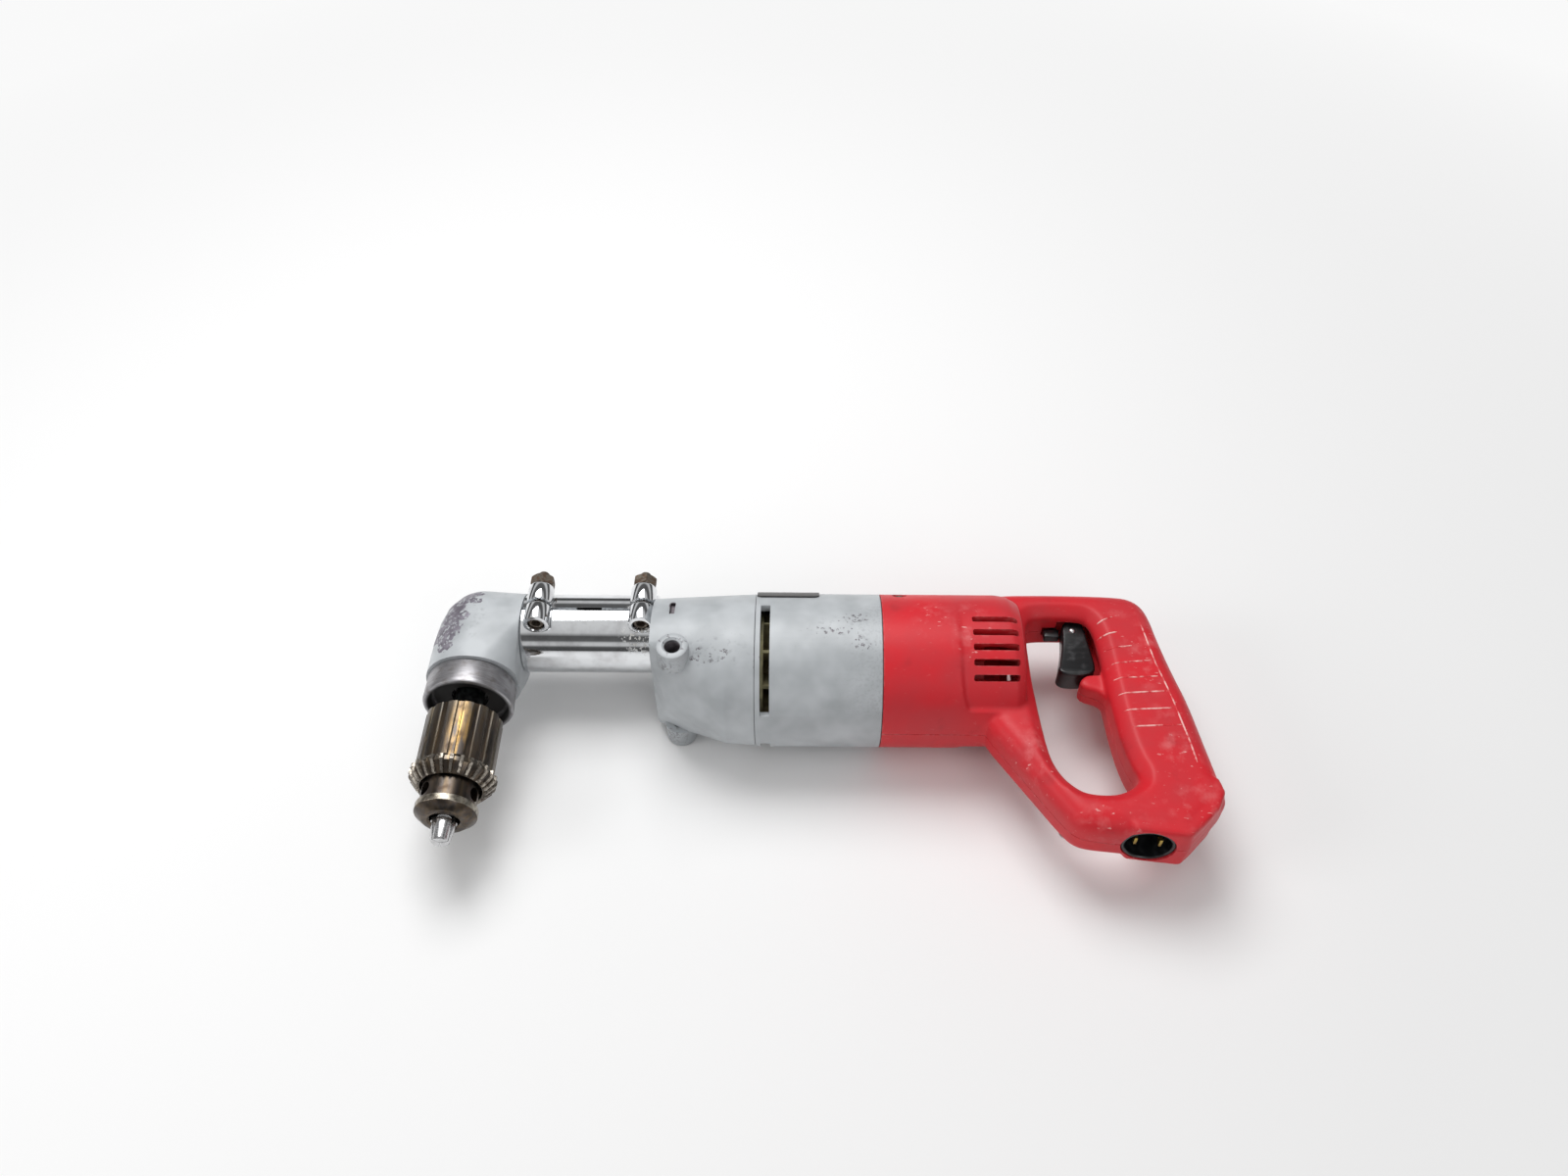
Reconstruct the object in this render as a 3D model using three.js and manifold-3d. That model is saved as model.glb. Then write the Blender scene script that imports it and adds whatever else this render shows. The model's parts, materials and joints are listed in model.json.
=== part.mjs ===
import * as THREE from 'three';
import { ConvexGeometry } from 'three/addons/geometries/ConvexGeometry.js';
import { mergeVertices } from 'three/addons/utils/BufferGeometryUtils.js';
import Module from 'manifold-3d';

// A corded right angle drill, lying on its side. Lengths are in millimetres.
// The tool's own lines: X runs along the motor to the handle, with zero at the chuck's line,
// -Y is where the chuck and the low end of the D handle point, and Z goes across the two handle halves.

const wasm = await Module();
wasm.setup();

// Fits that all pieces share
const jointGap = 0.3;
const overrun = 2;
const weldDistance = 0.0001;

// Spindle line and elbow
const spindleLift = 25.6;
const headReach = 26.1;
const headRadius = 26.6;
const headDrop = 36.8;
const headTop = 23.4;
const headWall = 5;
const headCollarLength = 32;
const headBarrelShares = [[1, 1], [0.42, 0.99], [0.05, 0.95]];
const headDomeShares = [[0.35, 0.86], [0.7, 0.68], [1, 0.36]];
const headShoulderShare = 0.25;
const topBearingDepth = 6.5;
const topBearingRadius = 8;
const topJournalRadius = 4.2;

// End cap and its bearing
const capLength = 16.6;
const capRadius = 25.8;
const capChamfer = 1;
const capThreadLength = 9;
const capRecessDepth = 7;
const capRecessRadius = 22.3;
const capBore = 10.6;
const lowBearingRadius = 16;
const lowBearingLength = 10;
const lowBearingInset = 4;

// Bevel pair
const bevelModule = 2.1;
const bevelPinionTeeth = 10;
const bevelGearTeeth = 15;
const bevelFaceWidth = 6;
const bevelHubLength = 9;
const pinionShaftRadius = 6;
const pinionBearingLength = 10;
const pinionBearingInset = 4;
const pinionBore = 14;
const pinionSocketLength = 14;
const pinionSocketRadius = 11;

// Output spindle
const outputShaftRadius = 7;
const outputFlangeRadius = 8.2;
const outputThreadRadius = 6.35;
const outputThreadLength = 17;

// Chuck
const chuckStart = 62.6;
const chuckSleeveRadius = 21.4;
const chuckSleeveLength = 36.5;
const chuckFluteCount = 15;
const chuckFluteDepth = 1.1;
const chuckFluteShare = 0.38;
const chuckRingRadius = 23.9;
const chuckRingLength = 3;
const chuckTeethCount = 27;
const chuckTeethLength = 6;
const chuckTeethDepth = 1.3;
const chuckTeethEndRadius = 19;
const chuckSleeveBore = 18.9;
const chuckNeckRadius = 15.6;
const chuckWaistRadius = 12.8;
const chuckNutLength = 6;
const chuckNutPlace = 29.5;
const chuckNoseLength = 64.8;
const chuckNoseRadius = 16.6;
const chuckNoseBand = 6.4;
const chuckNoseChamfer = 2;
const chuckShankBore = 6.7;
const keyHoleRadius = 3.9;
const keyHoleDepth = 6;
const keyHolePlace = 50.6;
const jawTurn = THREE.MathUtils.degToRad(14);

// Jaws
const jawCount = 3;
const jawAngle = THREE.MathUtils.degToRad(10.5);
const jawRadius = 4.2;
const jawLength = 42;
const jawTravel = 30;
const jawReach = 12.2;
const jawTipRadius = 6.3;
const jawCrossing = 5;

// Clamp sleeve
const sleeveLength = 78;
const sleeveRadius = 23.1;
const sleeveWall = 2.5;
const sleeveSlotWidth = 2.2;
const lugRadius = 7.5;
const lugLength = 27.4;
const lugLift = 25;
const lugInset = 10.4;
const lugRearInset = 7.3;
const clampScrewRadius = 3.1;
const clampHeadRadius = 4.4;
const clampHeadLength = 6.4;
const clampHeadInset = 1.6;
const clampSocketRadius = 2.6;
const clampSocketDepth = 3.4;
const clampNutAcross = 12.7;
const clampNutLength = 7;
const clampScrewEnd = 4;

// Gearcase
const gearcaseLength = 58.6;
const gearcaseStartRadius = 40.6;
const gearcaseEndRadius = 43.7;
const gearcaseNoseRadius = 20.9;
const gearcaseNoseGrowth = 1;
const gearcaseFlatShare = 0.24;
const gearcaseCornerShare = 0.27;
const gearcaseFullShare = 0.72;
const gearcaseFootShare = 0.14;
const gearcaseFootRadius = 26;
const gearcaseWall = 4.2;
const gearcaseFrontWall = 5;
const spigotLength = 32;
const spigotBore = 12.6;
const bossRadius = 8.7;
const bossBore = 5;
const bossDepth = 15;
const bossAlong = 13.6;
const bossDrop = 16;
const notchWidth = 3;
const notchLength = 11;
const notchAlong = 11.4;
const notchRise = 14.5;
const notchDepth = 2;

// Spur gears
const firstModule = 1;
const armaturePinionTeeth = 8;
const firstGearTeeth = 30;
const secondModule = 1.25;
const secondPinionTeeth = 9;
const spindleGearTeeth = 23;
const spindleGearWidth = 10;
const firstGearWidth = 7;

// Places along the gearcase, from its front face
const spindleGearPlace = 7.5;
const middlePlatePlace = 23.1;
const middlePlateLength = 7;
const firstGearPlace = 31;
const bearingPlatePlace = 44.6;
const bearingPlateLength = 9;
const bushLength = 5;
const bushWall = 2.2;
const intermediateJournal = 3.2;
const intermediateRadius = 4;
const spindleRadius = 7.6;
const spindleRearRadius = 5;
const spindleNoseRadius = 7.6;
const spindleNoseLength = 11;
const spindleShoulderRadius = 9.5;
const spindleBearingPlace = 4;
const spindleBearingLength = 10;

// Motor housing
const motorHousingLength = 70.6;
const motorHousingRadius = 44.1;
const motorHousingWall = 4;
const exhaustPlace = 2.9;
const exhaustWidth = 5.3;
const exhaustFromAngle = THREE.MathUtils.degToRad(-19);
const exhaustToAngle = THREE.MathUtils.degToRad(72);
const plateLength = 35.4;
const plateThickness = 0.8;
const plateHalfAngle = THREE.MathUtils.degToRad(57);
const plateInset = 0.4;

// Motor
const shaftRadius = 4.6;
const frontBearingRadius = 11;
const rearBearingRadius = 11;
const motorBearingLength = 7;
const fanPlace = 2.4;
const fanWidth = 7;
const fanRadius = 34;
const fanPlate = 2;
const fanHubRadius = 9;
const fanBlades = 10;
const fanBladeThickness = 1.6;
const fieldPlace = 19.5;
const fieldLength = 58;
const fieldYoke = 5.4;
const fieldBore = 22.2;
const fieldCoilInset = 0.8;
const fieldCoilEnd = 8;
const fieldShoe = 4.4;
const fieldPoleAngle = THREE.MathUtils.degToRad(56);
const fieldNeckAngle = THREE.MathUtils.degToRad(26);
const fieldCoilAngle = THREE.MathUtils.degToRad(78);
const coreRadius = 21.2;
const windingRadius = 17.6;
const windingLength = 9;
const commutatorPlace = 20.5;
const commutatorLength = 24;
const commutatorRadius = 13;
const commutatorRiser = 15;
const riserShare = 0.2;
const brushWidth = 6.4;
const brushThickness = 9.6;
const brushLength = 12;
const brushHolderWall = 1.6;
const brushHolderLength = 20;
const brushHolderLift = 2.6;
const brushSpringWire = 0.7;
const brushSpringTurns = 4;
const brushShare = 0.62;
const springSteps = 6;
const springSides = 4;

// Handle barrel
const barrelLength = 85.7;
const barrelRadius = motorHousingRadius;
const barrelWall = 3.6;
const barrelShoulderShares = [[0.77, 1], [0.88, 0.94], [0.955, 0.76], [1, 0.45]];
const barrelWebPlace = 49.5;
const barrelWebLength = 8.5;
const webHoleRadius = 8;
const webHoleReach = 25;
const webHoleAngles = [45, 135, 225, 315];
const ventPanelPlace = 43;
const ventPanelDepth = 2.4;
const ventPanelRise = 23;
const ventPanelDrop = 45;
const ventCount = 5;
const ventWidth = 3.2;
const ventLength = 23;
const ventPitch = 11.9;
const ventRise = 16.2;
const ventEnd = 75;
const seamScrewPlace = 10.8;
const seamScrewRadius = 3.4;
const seamScrewShank = 1.9;
const seamScrewLength = 7;
const seamScrewAngle = THREE.MathUtils.degToRad(48);
const seamScrewSink = 1.6;

// D handle
const gripStart = 52;
const gripLength = 127.4;
const gripRise = 48.6;
const gripDrop = 115;
const gripHalfThickness = 17.4;
const gripEdge = 6;
const gripWall = 4;
const gripOutlineShares = [
  [0.03, 0.82], [0.1, 0.965], [0.27, 1], [0.55, 0.995], [0.71, 0.975], [0.765, 0.925], [0.81, 0.78],
  [0.835, 0.6], [0.85, 0.32], [0.885, -0.08], [0.925, -0.27], [0.955, -0.48], [0.98, -0.67],
  [1, -0.8], [0.825, -1], [0.54, -0.97], [0.42, -0.955], [0.345, -0.91], [0.01, -0.34],
];
const openingShares = [
  [0.265, 0.615], [0.53, 0.615], [0.562, 0.5], [0.576, 0.2], [0.584, -0.06], [0.592, -0.2],
  [0.602, -0.42], [0.622, -0.59], [0.645, -0.668], [0.63, -0.715], [0.595, -0.75], [0.54, -0.769],
  [0.47, -0.769], [0.405, -0.755], [0.35, -0.71], [0.312, -0.635], [0.287, -0.545], [0.271, -0.36],
  [0.258, -0.15], [0.255, 0.3], [0.256, 0.54],
];
const hookShares = [
  [0.62, -0.05], [0.51, -0.082], [0.49, -0.113], [0.51, -0.148], [0.55, -0.165], [0.62, -0.26],
];
const hookHalfThickness = 8.5;
const handleScrewShares = [[0.745, 0.76], [0.9, -0.74], [0.36, -0.84]];
const handleScrewRadius = 2;
const handleScrewHead = 3.6;
const handleScrewHeadLength = 2.6;
const handleScrewSink = 1;
const handleScrewLength = 26;
const screwBossRadius = 5.2;

// Trigger, switch and reverse lever
const triggerPivotShare = 0.482;
const triggerPivotRise = 27;
const triggerShares = [
  [-0.13, 0.2], [-0.16, -0.2], [-0.2, -0.42], [-0.3, -0.85], [-0.27, -0.94], [-0.12, -1], [0.1, -1],
  [0.27, -0.93], [0.31, -0.78], [0.27, -0.3], [0.2, 0.2],
];
const triggerDrop = 34.5;
const triggerHalfWidth = 6.2;
const triggerFlare = 1.3;
const flareShare = 0.62;
const triggerTravel = THREE.MathUtils.degToRad(12);
const triggerRoomSteps = 4;
const triggerPinRadius = 1.6;
const switchShares = [[0.612, 0.56], [0.765, 0.56], [0.79, -0.03], [0.668, -0.03]];
const cheekThickness = 1.5;
const cheekLength = 12;
const cheekDrop = 4;
const leverPlace = 9;
const leverLength = 6.6;
const leverHeight = 6;
const leverHalfWidth = 2.6;
const leverStemRadius = 2;
const leverStemLength = 12;
const leverSweep = THREE.MathUtils.degToRad(14);

// Power inlet
const inletShare = 0.665;
const inletDropShare = 0.975;
const inletRadius = 14;
const inletWall = 1.8;
const inletDepth = 18;
const inletFloor = 5;
const inletLean = THREE.MathUtils.degToRad(-5.4);
const bladeWidth = 6.4;
const bladeThickness = 1.8;
const bladeLength = 11;
const bladeSpacing = 13;

// Facets round a full turn
const largeSides = 28;
const mediumSides = 14;
const smallSides = 8;
const chuckSides = 2 * chuckFluteCount;
const edgeSteps = 1;
const largeStep = 2 * Math.PI / largeSides;

// Places that follow from the sizes above
const sleeveStart = headReach + jointGap;
const sleeveEnd = sleeveStart + sleeveLength;
const gearcaseStart = sleeveEnd + jointGap;
const gearcaseEnd = gearcaseStart + gearcaseLength;
const motorHousingStart = gearcaseEnd + jointGap;
const motorHousingEnd = motorHousingStart + motorHousingLength;
const handleStart = motorHousingEnd + jointGap;
const handleEnd = handleStart + barrelLength;
const sleeveBore = sleeveRadius - sleeveWall;
const spigotRadius = sleeveBore - jointGap;
const collarEnd = headReach + headCollarLength;
const spigotStart = gearcaseStart - spigotLength;
const capEnd = headDrop + jointGap + capLength;
const chuckNoseEnd = chuckStart + chuckNoseLength;
const jawTip = chuckNoseEnd + jawReach;
const bevelPinionRadius = bevelModule * bevelPinionTeeth / 2;
const bevelGearRadius = bevelModule * bevelGearTeeth / 2;
const firstCentres = firstModule * (armaturePinionTeeth + firstGearTeeth) / 2;
const secondCentres = secondModule * (secondPinionTeeth + spindleGearTeeth) / 2;
const intermediateLift = (firstCentres ** 2 - secondCentres ** 2 + spindleLift ** 2) / (2 * spindleLift);
const intermediateSide = Math.sqrt(firstCentres ** 2 - intermediateLift ** 2);
const spindleGearStart = gearcaseStart + spindleGearPlace;
const middlePlateStart = gearcaseStart + middlePlatePlace;
const firstGearStart = gearcaseStart + firstGearPlace;
const bearingPlateStart = gearcaseStart + bearingPlatePlace;
const fieldStart = motorHousingStart + fieldPlace;
const commutatorStart = handleStart + commutatorPlace;
const rearBearingStart = handleStart + barrelWebPlace + jointGap;
const switchHalfWidth = gripHalfThickness - gripWall - jointGap;
const frontBearingStart = bearingPlateStart + bearingPlateLength - motorBearingLength;
const gripOrigin = handleStart + gripStart;
const triggerPivotX = gripOrigin + gripLength * triggerPivotShare;
const leverX = triggerPivotX - leverPlace;
const openingTopShare = Math.max(...openingShares.map(([, across]) => across));
const leverY = gripRise * openingTopShare - jointGap;
const lugPlaces = [sleeveStart + lugInset, sleeveEnd - lugRearInset];
const bossReach = motorHousingRadius * Math.cos(Math.PI / largeSides);
const bossFloor = bossReach - bossDepth - gearcaseWall;
const gearcaseNotchFloor = Math.sqrt(gearcaseStartRadius ** 2 - notchRise ** 2) - notchDepth;
const spindleBushRadius = spindleRearRadius + jointGap + bushWall;
const frontBushRadius = intermediateRadius + jointGap + bushWall;
const rearBushRadius = intermediateJournal + jointGap + bushWall;
const spindleBearingStart = spigotStart + spindleBearingPlace;
const pinionBearingStart = headReach + pinionBearingInset;
const pinionSocketStart = pinionBearingStart + pinionBearingLength + jointGap;
const pinionSocketEnd = pinionSocketStart + pinionSocketLength;

// Gear phases: a tooth of one gear sits in a gap of its mate on the line between their centres
const meshFirst = Math.atan2(-intermediateSide, intermediateLift);
const meshSecond = Math.atan2(intermediateSide, spindleLift - intermediateLift);
const armaturePinionPhase = meshFirst;
const firstGearPhase = meshFirst + Math.PI + Math.PI / firstGearTeeth;
const secondPinionPhase = meshSecond;
const spindleGearPhase = meshSecond + Math.PI + Math.PI / spindleGearTeeth;

// Turns a closed geometry into a solid that can be joined and cut, with its faces outwards
function solid(geometry) {
  const bare = new THREE.BufferGeometry();
  bare.setAttribute('position', geometry.getAttribute('position'));
  bare.setIndex(geometry.getIndex());
  const merged = mergeVertices(bare, weldDistance);
  const places = merged.getAttribute('position').array;
  const corners = merged.getIndex().array;
  const kept = [];
  let volume = 0;
  for (let i = 0; i < corners.length; i += 3) {
    const [a, b, c] = [corners[i], corners[i + 1], corners[i + 2]];
    if (a === b || b === c || c === a) continue;
    const [p, q, r] = [a, b, c].map((n) => new THREE.Vector3().fromArray(places, 3 * n));
    volume += p.dot(q.cross(r));
    kept.push(a, b, c);
  }
  if (volume < 0) kept.reverse();
  const [vertProperties, triVerts] = [Float32Array.from(places), Uint32Array.from(kept)];
  return new wasm.Manifold(new wasm.Mesh({ numProp: 3, vertProperties, triVerts }));
}

function joined(...solids) {
  return solids.reduce((whole, next) => whole.add(next));
}

function cutBy(base, ...tools) {
  return tools.reduce((rest, tool) => rest.subtract(tool), base);
}

function finish(color, roughness, metalness) {
  return new THREE.MeshStandardMaterial({ color, roughness, metalness });
}

const greyPaint = () => finish(0xa9adb0, 0.45, 0.1);
const bareSteel = () => finish(0x8d8f92, 0.35, 1);
const darkSteel = () => finish(0x4a4744, 0.4, 1);
const chrome = () => finish(0xd8dadc, 0.08, 1);
const rustySteel = () => finish(0x6b5a48, 0.7, 0.8);
const redPlastic = () => finish(0xc4202a, 0.5, 0);
const blackPlastic = () => finish(0x141416, 0.45, 0);
const brownPhenolic = () => finish(0x3a2a20, 0.6, 0);
const copper = () => finish(0xb06a3c, 0.4, 1);
const castMetal = () => finish(0x9a9c9e, 0.5, 0.9);
const carbon = () => finish(0x2a2a2c, 0.7, 0.1);
const brass = () => finish(0xb59a4c, 0.35, 1);

// A named piece from a solid or a plain geometry
function piece(name, shape, material) {
  const body = shape instanceof wasm.Manifold ? shape : solid(shape);
  const mesh = body.getMesh();
  const geometry = new THREE.BufferGeometry();
  geometry.setAttribute('position', new THREE.BufferAttribute(Float32Array.from(mesh.vertProperties), 3));
  geometry.setIndex(Array.from(mesh.triVerts));
  geometry.computeVertexNormals();
  const result = new THREE.Mesh(geometry, material);
  result.name = name;
  return result;
}

// A round piece about X from [along, radius] points that close on themselves or start and end on the axis
function turned(points, sides) {
  const first = points[0];
  const last = points[points.length - 1];
  const open = first[1] !== 0 || last[1] !== 0;
  const profile = open ? [...points, first] : points;
  const places = profile.map(([along, radius]) => new THREE.Vector2(radius, along));
  return new THREE.LatheGeometry(places, sides).rotateZ(-Math.PI / 2).rotateX(Math.PI / sides);
}

function rod(from, to, radius, sides) {
  return turned([[from, 0], [from, radius], [to, radius], [to, 0]], sides);
}

function ring(from, to, inner, outer, sides) {
  return turned([[from, inner], [from, outer], [to, outer], [to, inner]], sides);
}

// A straight-sided box between two corners
function block(low, high) {
  const size = high.map((value, i) => value - low[i]);
  const middle = high.map((value, i) => (value + low[i]) / 2);
  return new THREE.BoxGeometry(...size).translate(...middle);
}

// A rod along Z at a place on the XY plane
function crossRod(x, y, from, to, radius, sides) {
  return rod(from, to, radius, sides).rotateY(-Math.PI / 2).translate(x, y, 0);
}

function plateOf(points, from, to) {
  const shape = new THREE.Shape(points.map(([x, y]) => new THREE.Vector2(x, y)));
  return new THREE.ExtrudeGeometry(shape, { depth: to - from, bevelEnabled: false }).translate(0, 0, from);
}

// Moves each side of a closed outline along its own outward normal by the same distance
function offset(points, distance) {
  const area = THREE.ShapeUtils.area(points.map(([x, y]) => ({ x, y })));
  const turn = Math.sign(area);
  return points.map((here, i) => {
    const before = points[(i + points.length - 1) % points.length];
    const after = points[(i + 1) % points.length];
    const arriving = new THREE.Vector2(here[0] - before[0], here[1] - before[1]).normalize();
    const leaving = new THREE.Vector2(after[0] - here[0], after[1] - here[1]).normalize();
    const normalIn = new THREE.Vector2(arriving.y, -arriving.x).multiplyScalar(turn);
    const normalOut = new THREE.Vector2(leaving.y, -leaving.x).multiplyScalar(turn);
    const miter = normalIn.clone().add(normalOut);
    miter.multiplyScalar(distance / (1 + normalIn.dot(normalOut)));
    return [here[0] + miter.x, here[1] + miter.y];
  });
}

// Joins two or more star-shaped rings about X that have as many points each, and closes both ends
function stitched(rings) {
  const count = rings[0].length;
  const last = (rings.length - 1) * count;
  const ends = [rings[0], rings[rings.length - 1]].map((ring) => new THREE.Vector3(ring[0].x, 0, 0));
  const places = [...rings.flat(), ...ends].flatMap((point) => point.toArray());
  const corners = [];
  for (let j = 0; j < count; j += 1) {
    const next = (j + 1) % count;
    for (let here = 0; here < last; here += count) {
      const there = here + count;
      corners.push(here + j, there + j, there + next, here + j, there + next, here + next);
    }
    corners.push(rings.length * count, j, next, rings.length * count + 1, last + next, last + j);
  }
  const geometry = new THREE.BufferGeometry();
  geometry.setAttribute('position', new THREE.BufferAttribute(Float32Array.from(places), 3));
  geometry.setIndex(corners);
  return solid(geometry);
}

function aroundX(along, radius, angle) {
  return new THREE.Vector3(along, radius * Math.cos(angle), radius * Math.sin(angle));
}

const toothFootShare = 0.63;
const toothTipShare = 0.28;
const toothAddendumShare = 0.8;
const toothDedendumShare = 1.05;
const coreShare = 0.8;

// One ring of tooth corners about X: root and tip are [along, radius], and a tooth is centred on the phase
function toothRing(teeth, root, tip, phase) {
  const half = Math.PI / teeth;
  const points = [];
  for (let i = 0; i < teeth; i += 1) {
    const middle = phase + 2 * half * i;
    points.push(aroundX(...root, middle - half * toothFootShare));
    points.push(aroundX(...tip, middle - half * toothTipShare));
    points.push(aroundX(...tip, middle + half * toothTipShare));
    points.push(aroundX(...root, middle + half * toothFootShare));
  }
  return points;
}

function spurGear(teeth, size, from, to, phase) {
  const root = size * (teeth / 2 - toothDedendumShare);
  const tip = size * (teeth / 2 + toothAddendumShare);
  return stitched([from, to].map((along) => toothRing(teeth, [along, root], [along, tip], phase)));
}

// A bevel gear's teeth about X, with the cone's point at the origin
function bevelTeeth(teeth, mate, phase) {
  const radius = bevelModule * teeth / 2;
  const distance = bevelModule * mate / 2;
  const cone = Math.hypot(radius, distance);
  const place = (height, share) => [
    share * (distance - height * radius / cone), share * (radius + height * distance / cone)];
  const rings = [1 - bevelFaceWidth / cone, 1].map((share) => toothRing(teeth,
    place(-bevelModule * toothDedendumShare, share), place(bevelModule * toothAddendumShare, share), phase));
  return stitched(rings);
}

// Where the small end of a bevel gear's teeth starts along its line
function bevelFront(teeth, mate) {
  const cone = Math.hypot(teeth, mate) * bevelModule / 2;
  const rise = bevelModule * toothDedendumShare * teeth * bevelModule / 2 / cone;
  return (1 - bevelFaceWidth / cone) * (mate * bevelModule / 2 + rise);
}

function circleAboutX(along, centre, radius, sides, from = 0, to = 2 * Math.PI) {
  const points = [];
  for (let i = 0; i <= sides; i += 1) {
    const angle = from + (to - from) * i / sides;
    points.push(new THREE.Vector3(along, centre + radius * Math.cos(angle), radius * Math.sin(angle)));
  }
  return points;
}

function circleAboutY(rise, radius, sides) {
  const points = [];
  for (let i = 0; i < sides; i += 1) {
    const angle = 2 * Math.PI * i / sides;
    points.push(new THREE.Vector3(radius * Math.cos(angle), rise, radius * Math.sin(angle)));
  }
  return points;
}

// A hexagonal rod about X with a flat side up and down
function hexagon(from, to, across) {
  return rod(from, to, across / Math.sqrt(3), 6);
}

// Head pieces, about the output line: X runs from the elbow to the jaws, Y to the motor
function headHousing() {
  const points = [];
  for (const [drop, radius] of headBarrelShares) {
    points.push(...circleAboutY(-headDrop * drop, headRadius * radius, largeSides));
  }
  for (const [rise, radius] of headDomeShares) {
    points.push(...circleAboutY(headTop * rise, headRadius * radius, mediumSides));
  }
  points.push(...circleAboutX(headReach, 0, sleeveRadius, largeSides));
  const reach = 2 * headDrop;
  const faced = solid(block([-reach, -reach, -reach], [reach, headReach, reach]));
  const casting = solid(new ConvexGeometry(points).rotateZ(Math.PI / 2)).intersect(faced);
  const collar = solid(rod(0, collarEnd, spigotRadius, largeSides).rotateZ(Math.PI / 2));
  const topBearingTop = -headTop + headWall;
  const topBearingEnd = topBearingTop + topBearingDepth;
  const cavity = solid(turned([
    [topBearingTop, 0], [topBearingTop, topBearingRadius + jointGap],
    [topBearingEnd, topBearingRadius + jointGap],
    [topBearingEnd, headRadius * headDomeShares[1][1] - headWall / 2],
    [0, headRadius * headBarrelShares[2][1] - headWall],
    [headDrop * headShoulderShare, headRadius - headWall],
    [headDrop + overrun, headRadius - headWall], [headDrop + overrun, 0],
  ], largeSides));
  const boreRod = rod(bevelPinionRadius, collarEnd + overrun, pinionBore, mediumSides);
  const bore = solid(boreRod.rotateZ(Math.PI / 2));
  return piece('head_housing', cutBy(joined(casting, collar), cavity, bore), greyPaint());
}

function headEndCap() {
  const start = headDrop + jointGap;
  const threadStart = start - capThreadLength;
  const threadRadius = headRadius - headWall - jointGap;
  const seatRadius = lowBearingRadius + jointGap;
  const seatEnd = threadStart + lowBearingInset + lowBearingLength + jointGap;
  return piece('head_end_cap', turned([
    [threadStart, seatRadius], [threadStart, threadRadius], [start, threadRadius],
    [start, capRadius - 2 * capChamfer], [start + capChamfer, capRadius - capChamfer],
    [capEnd - capChamfer, capRadius], [capEnd, capRadius - capChamfer], [capEnd, capRecessRadius],
    [capEnd - capRecessDepth, capRecessRadius - capChamfer], [capEnd - capRecessDepth, capBore],
    [seatEnd, capBore], [seatEnd, seatRadius],
  ], largeSides), bareSteel());
}

function headBearings() {
  const top = -headTop + headWall + jointGap;
  const low = headDrop + jointGap - capThreadLength + lowBearingInset;
  return [
    piece('spindle_top_bearing', ring(top, top + topBearingDepth - jointGap,
      topJournalRadius + jointGap, topBearingRadius, mediumSides), bareSteel()),
    piece('spindle_low_bearing', ring(low, low + lowBearingLength,
      outputFlangeRadius + jointGap, lowBearingRadius, mediumSides), bareSteel()),
  ];
}

function outputSpindle() {
  const top = -headTop + headWall + 2 * jointGap;
  const gearBack = bevelPinionRadius + bevelHubLength + jointGap;
  const shoulderEnd = chuckStart - jointGap;
  return piece('output_spindle', turned([
    [top, 0], [top, topJournalRadius], [-jointGap - topJournalRadius, topJournalRadius],
    [bevelModule - topJournalRadius, topJournalRadius + bevelModule], [bevelModule, outputShaftRadius],
    [gearBack, outputShaftRadius], [gearBack, outputFlangeRadius], [shoulderEnd, outputFlangeRadius],
    [shoulderEnd, outputThreadRadius], [shoulderEnd + outputThreadLength, outputThreadRadius],
    [shoulderEnd + outputThreadLength, 0],
  ], mediumSides), darkSteel());
}

function outputGear() {
  const back = bevelPinionRadius + bevelHubLength;
  const hub = rod(bevelPinionRadius, back, outputShaftRadius + 2 * bevelModule, mediumSides);
  const bore = rod(0, back + overrun, outputShaftRadius + jointGap, mediumSides);
  const teeth = bevelTeeth(bevelGearTeeth, bevelPinionTeeth, Math.PI / bevelGearTeeth);
  return piece('output_bevel_gear', cutBy(joined(teeth, solid(hub)), solid(bore)), bareSteel());
}

// The chuck, in places from the start of its sleeve
function chuckBody() {
  const nut = chuckStart + chuckNutPlace;
  const nutEnd = nut + chuckNutLength + 2 * jointGap;
  const band = chuckNoseEnd - chuckNoseBand;
  const neck = band - chuckNoseChamfer;
  const upperRadius = chuckSleeveBore - 2 * jointGap;
  const boreEnd = chuckStart + outputThreadLength + jointGap;
  let body = solid(turned([
    [chuckStart, outputThreadRadius + jointGap], [chuckStart, upperRadius - capChamfer],
    [chuckStart + capChamfer, upperRadius], [nut, upperRadius], [nut, chuckWaistRadius],
    [nutEnd, chuckWaistRadius], [nutEnd, chuckNeckRadius], [neck, chuckNeckRadius], [band, chuckNoseRadius],
    [chuckNoseEnd - chuckNoseChamfer, chuckNoseRadius],
    [chuckNoseEnd, chuckNoseRadius - 2 * chuckNoseChamfer],
    [chuckNoseEnd, chuckShankBore], [boreEnd, chuckShankBore], [boreEnd, outputThreadRadius + jointGap],
  ], chuckSides));
  const holePlace = chuckStart + keyHolePlace;
  for (let i = 0; i < jawCount; i += 1) {
    const turn = jawTurn + (2 * i + 1) * Math.PI / jawCount;
    const hole = rod(chuckNeckRadius - keyHoleDepth, chuckNeckRadius + overrun, keyHoleRadius, smallSides)
      .rotateY(-Math.PI / 2).translate(holePlace, 0, 0).rotateX(-turn);
    body = body.subtract(solid(hole));
    body = body.subtract(jawRod(i, jawRadius + jointGap, jawLength + jawTravel + overrun));
  }
  return piece('chuck_body', body, darkSteel());
}

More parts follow.
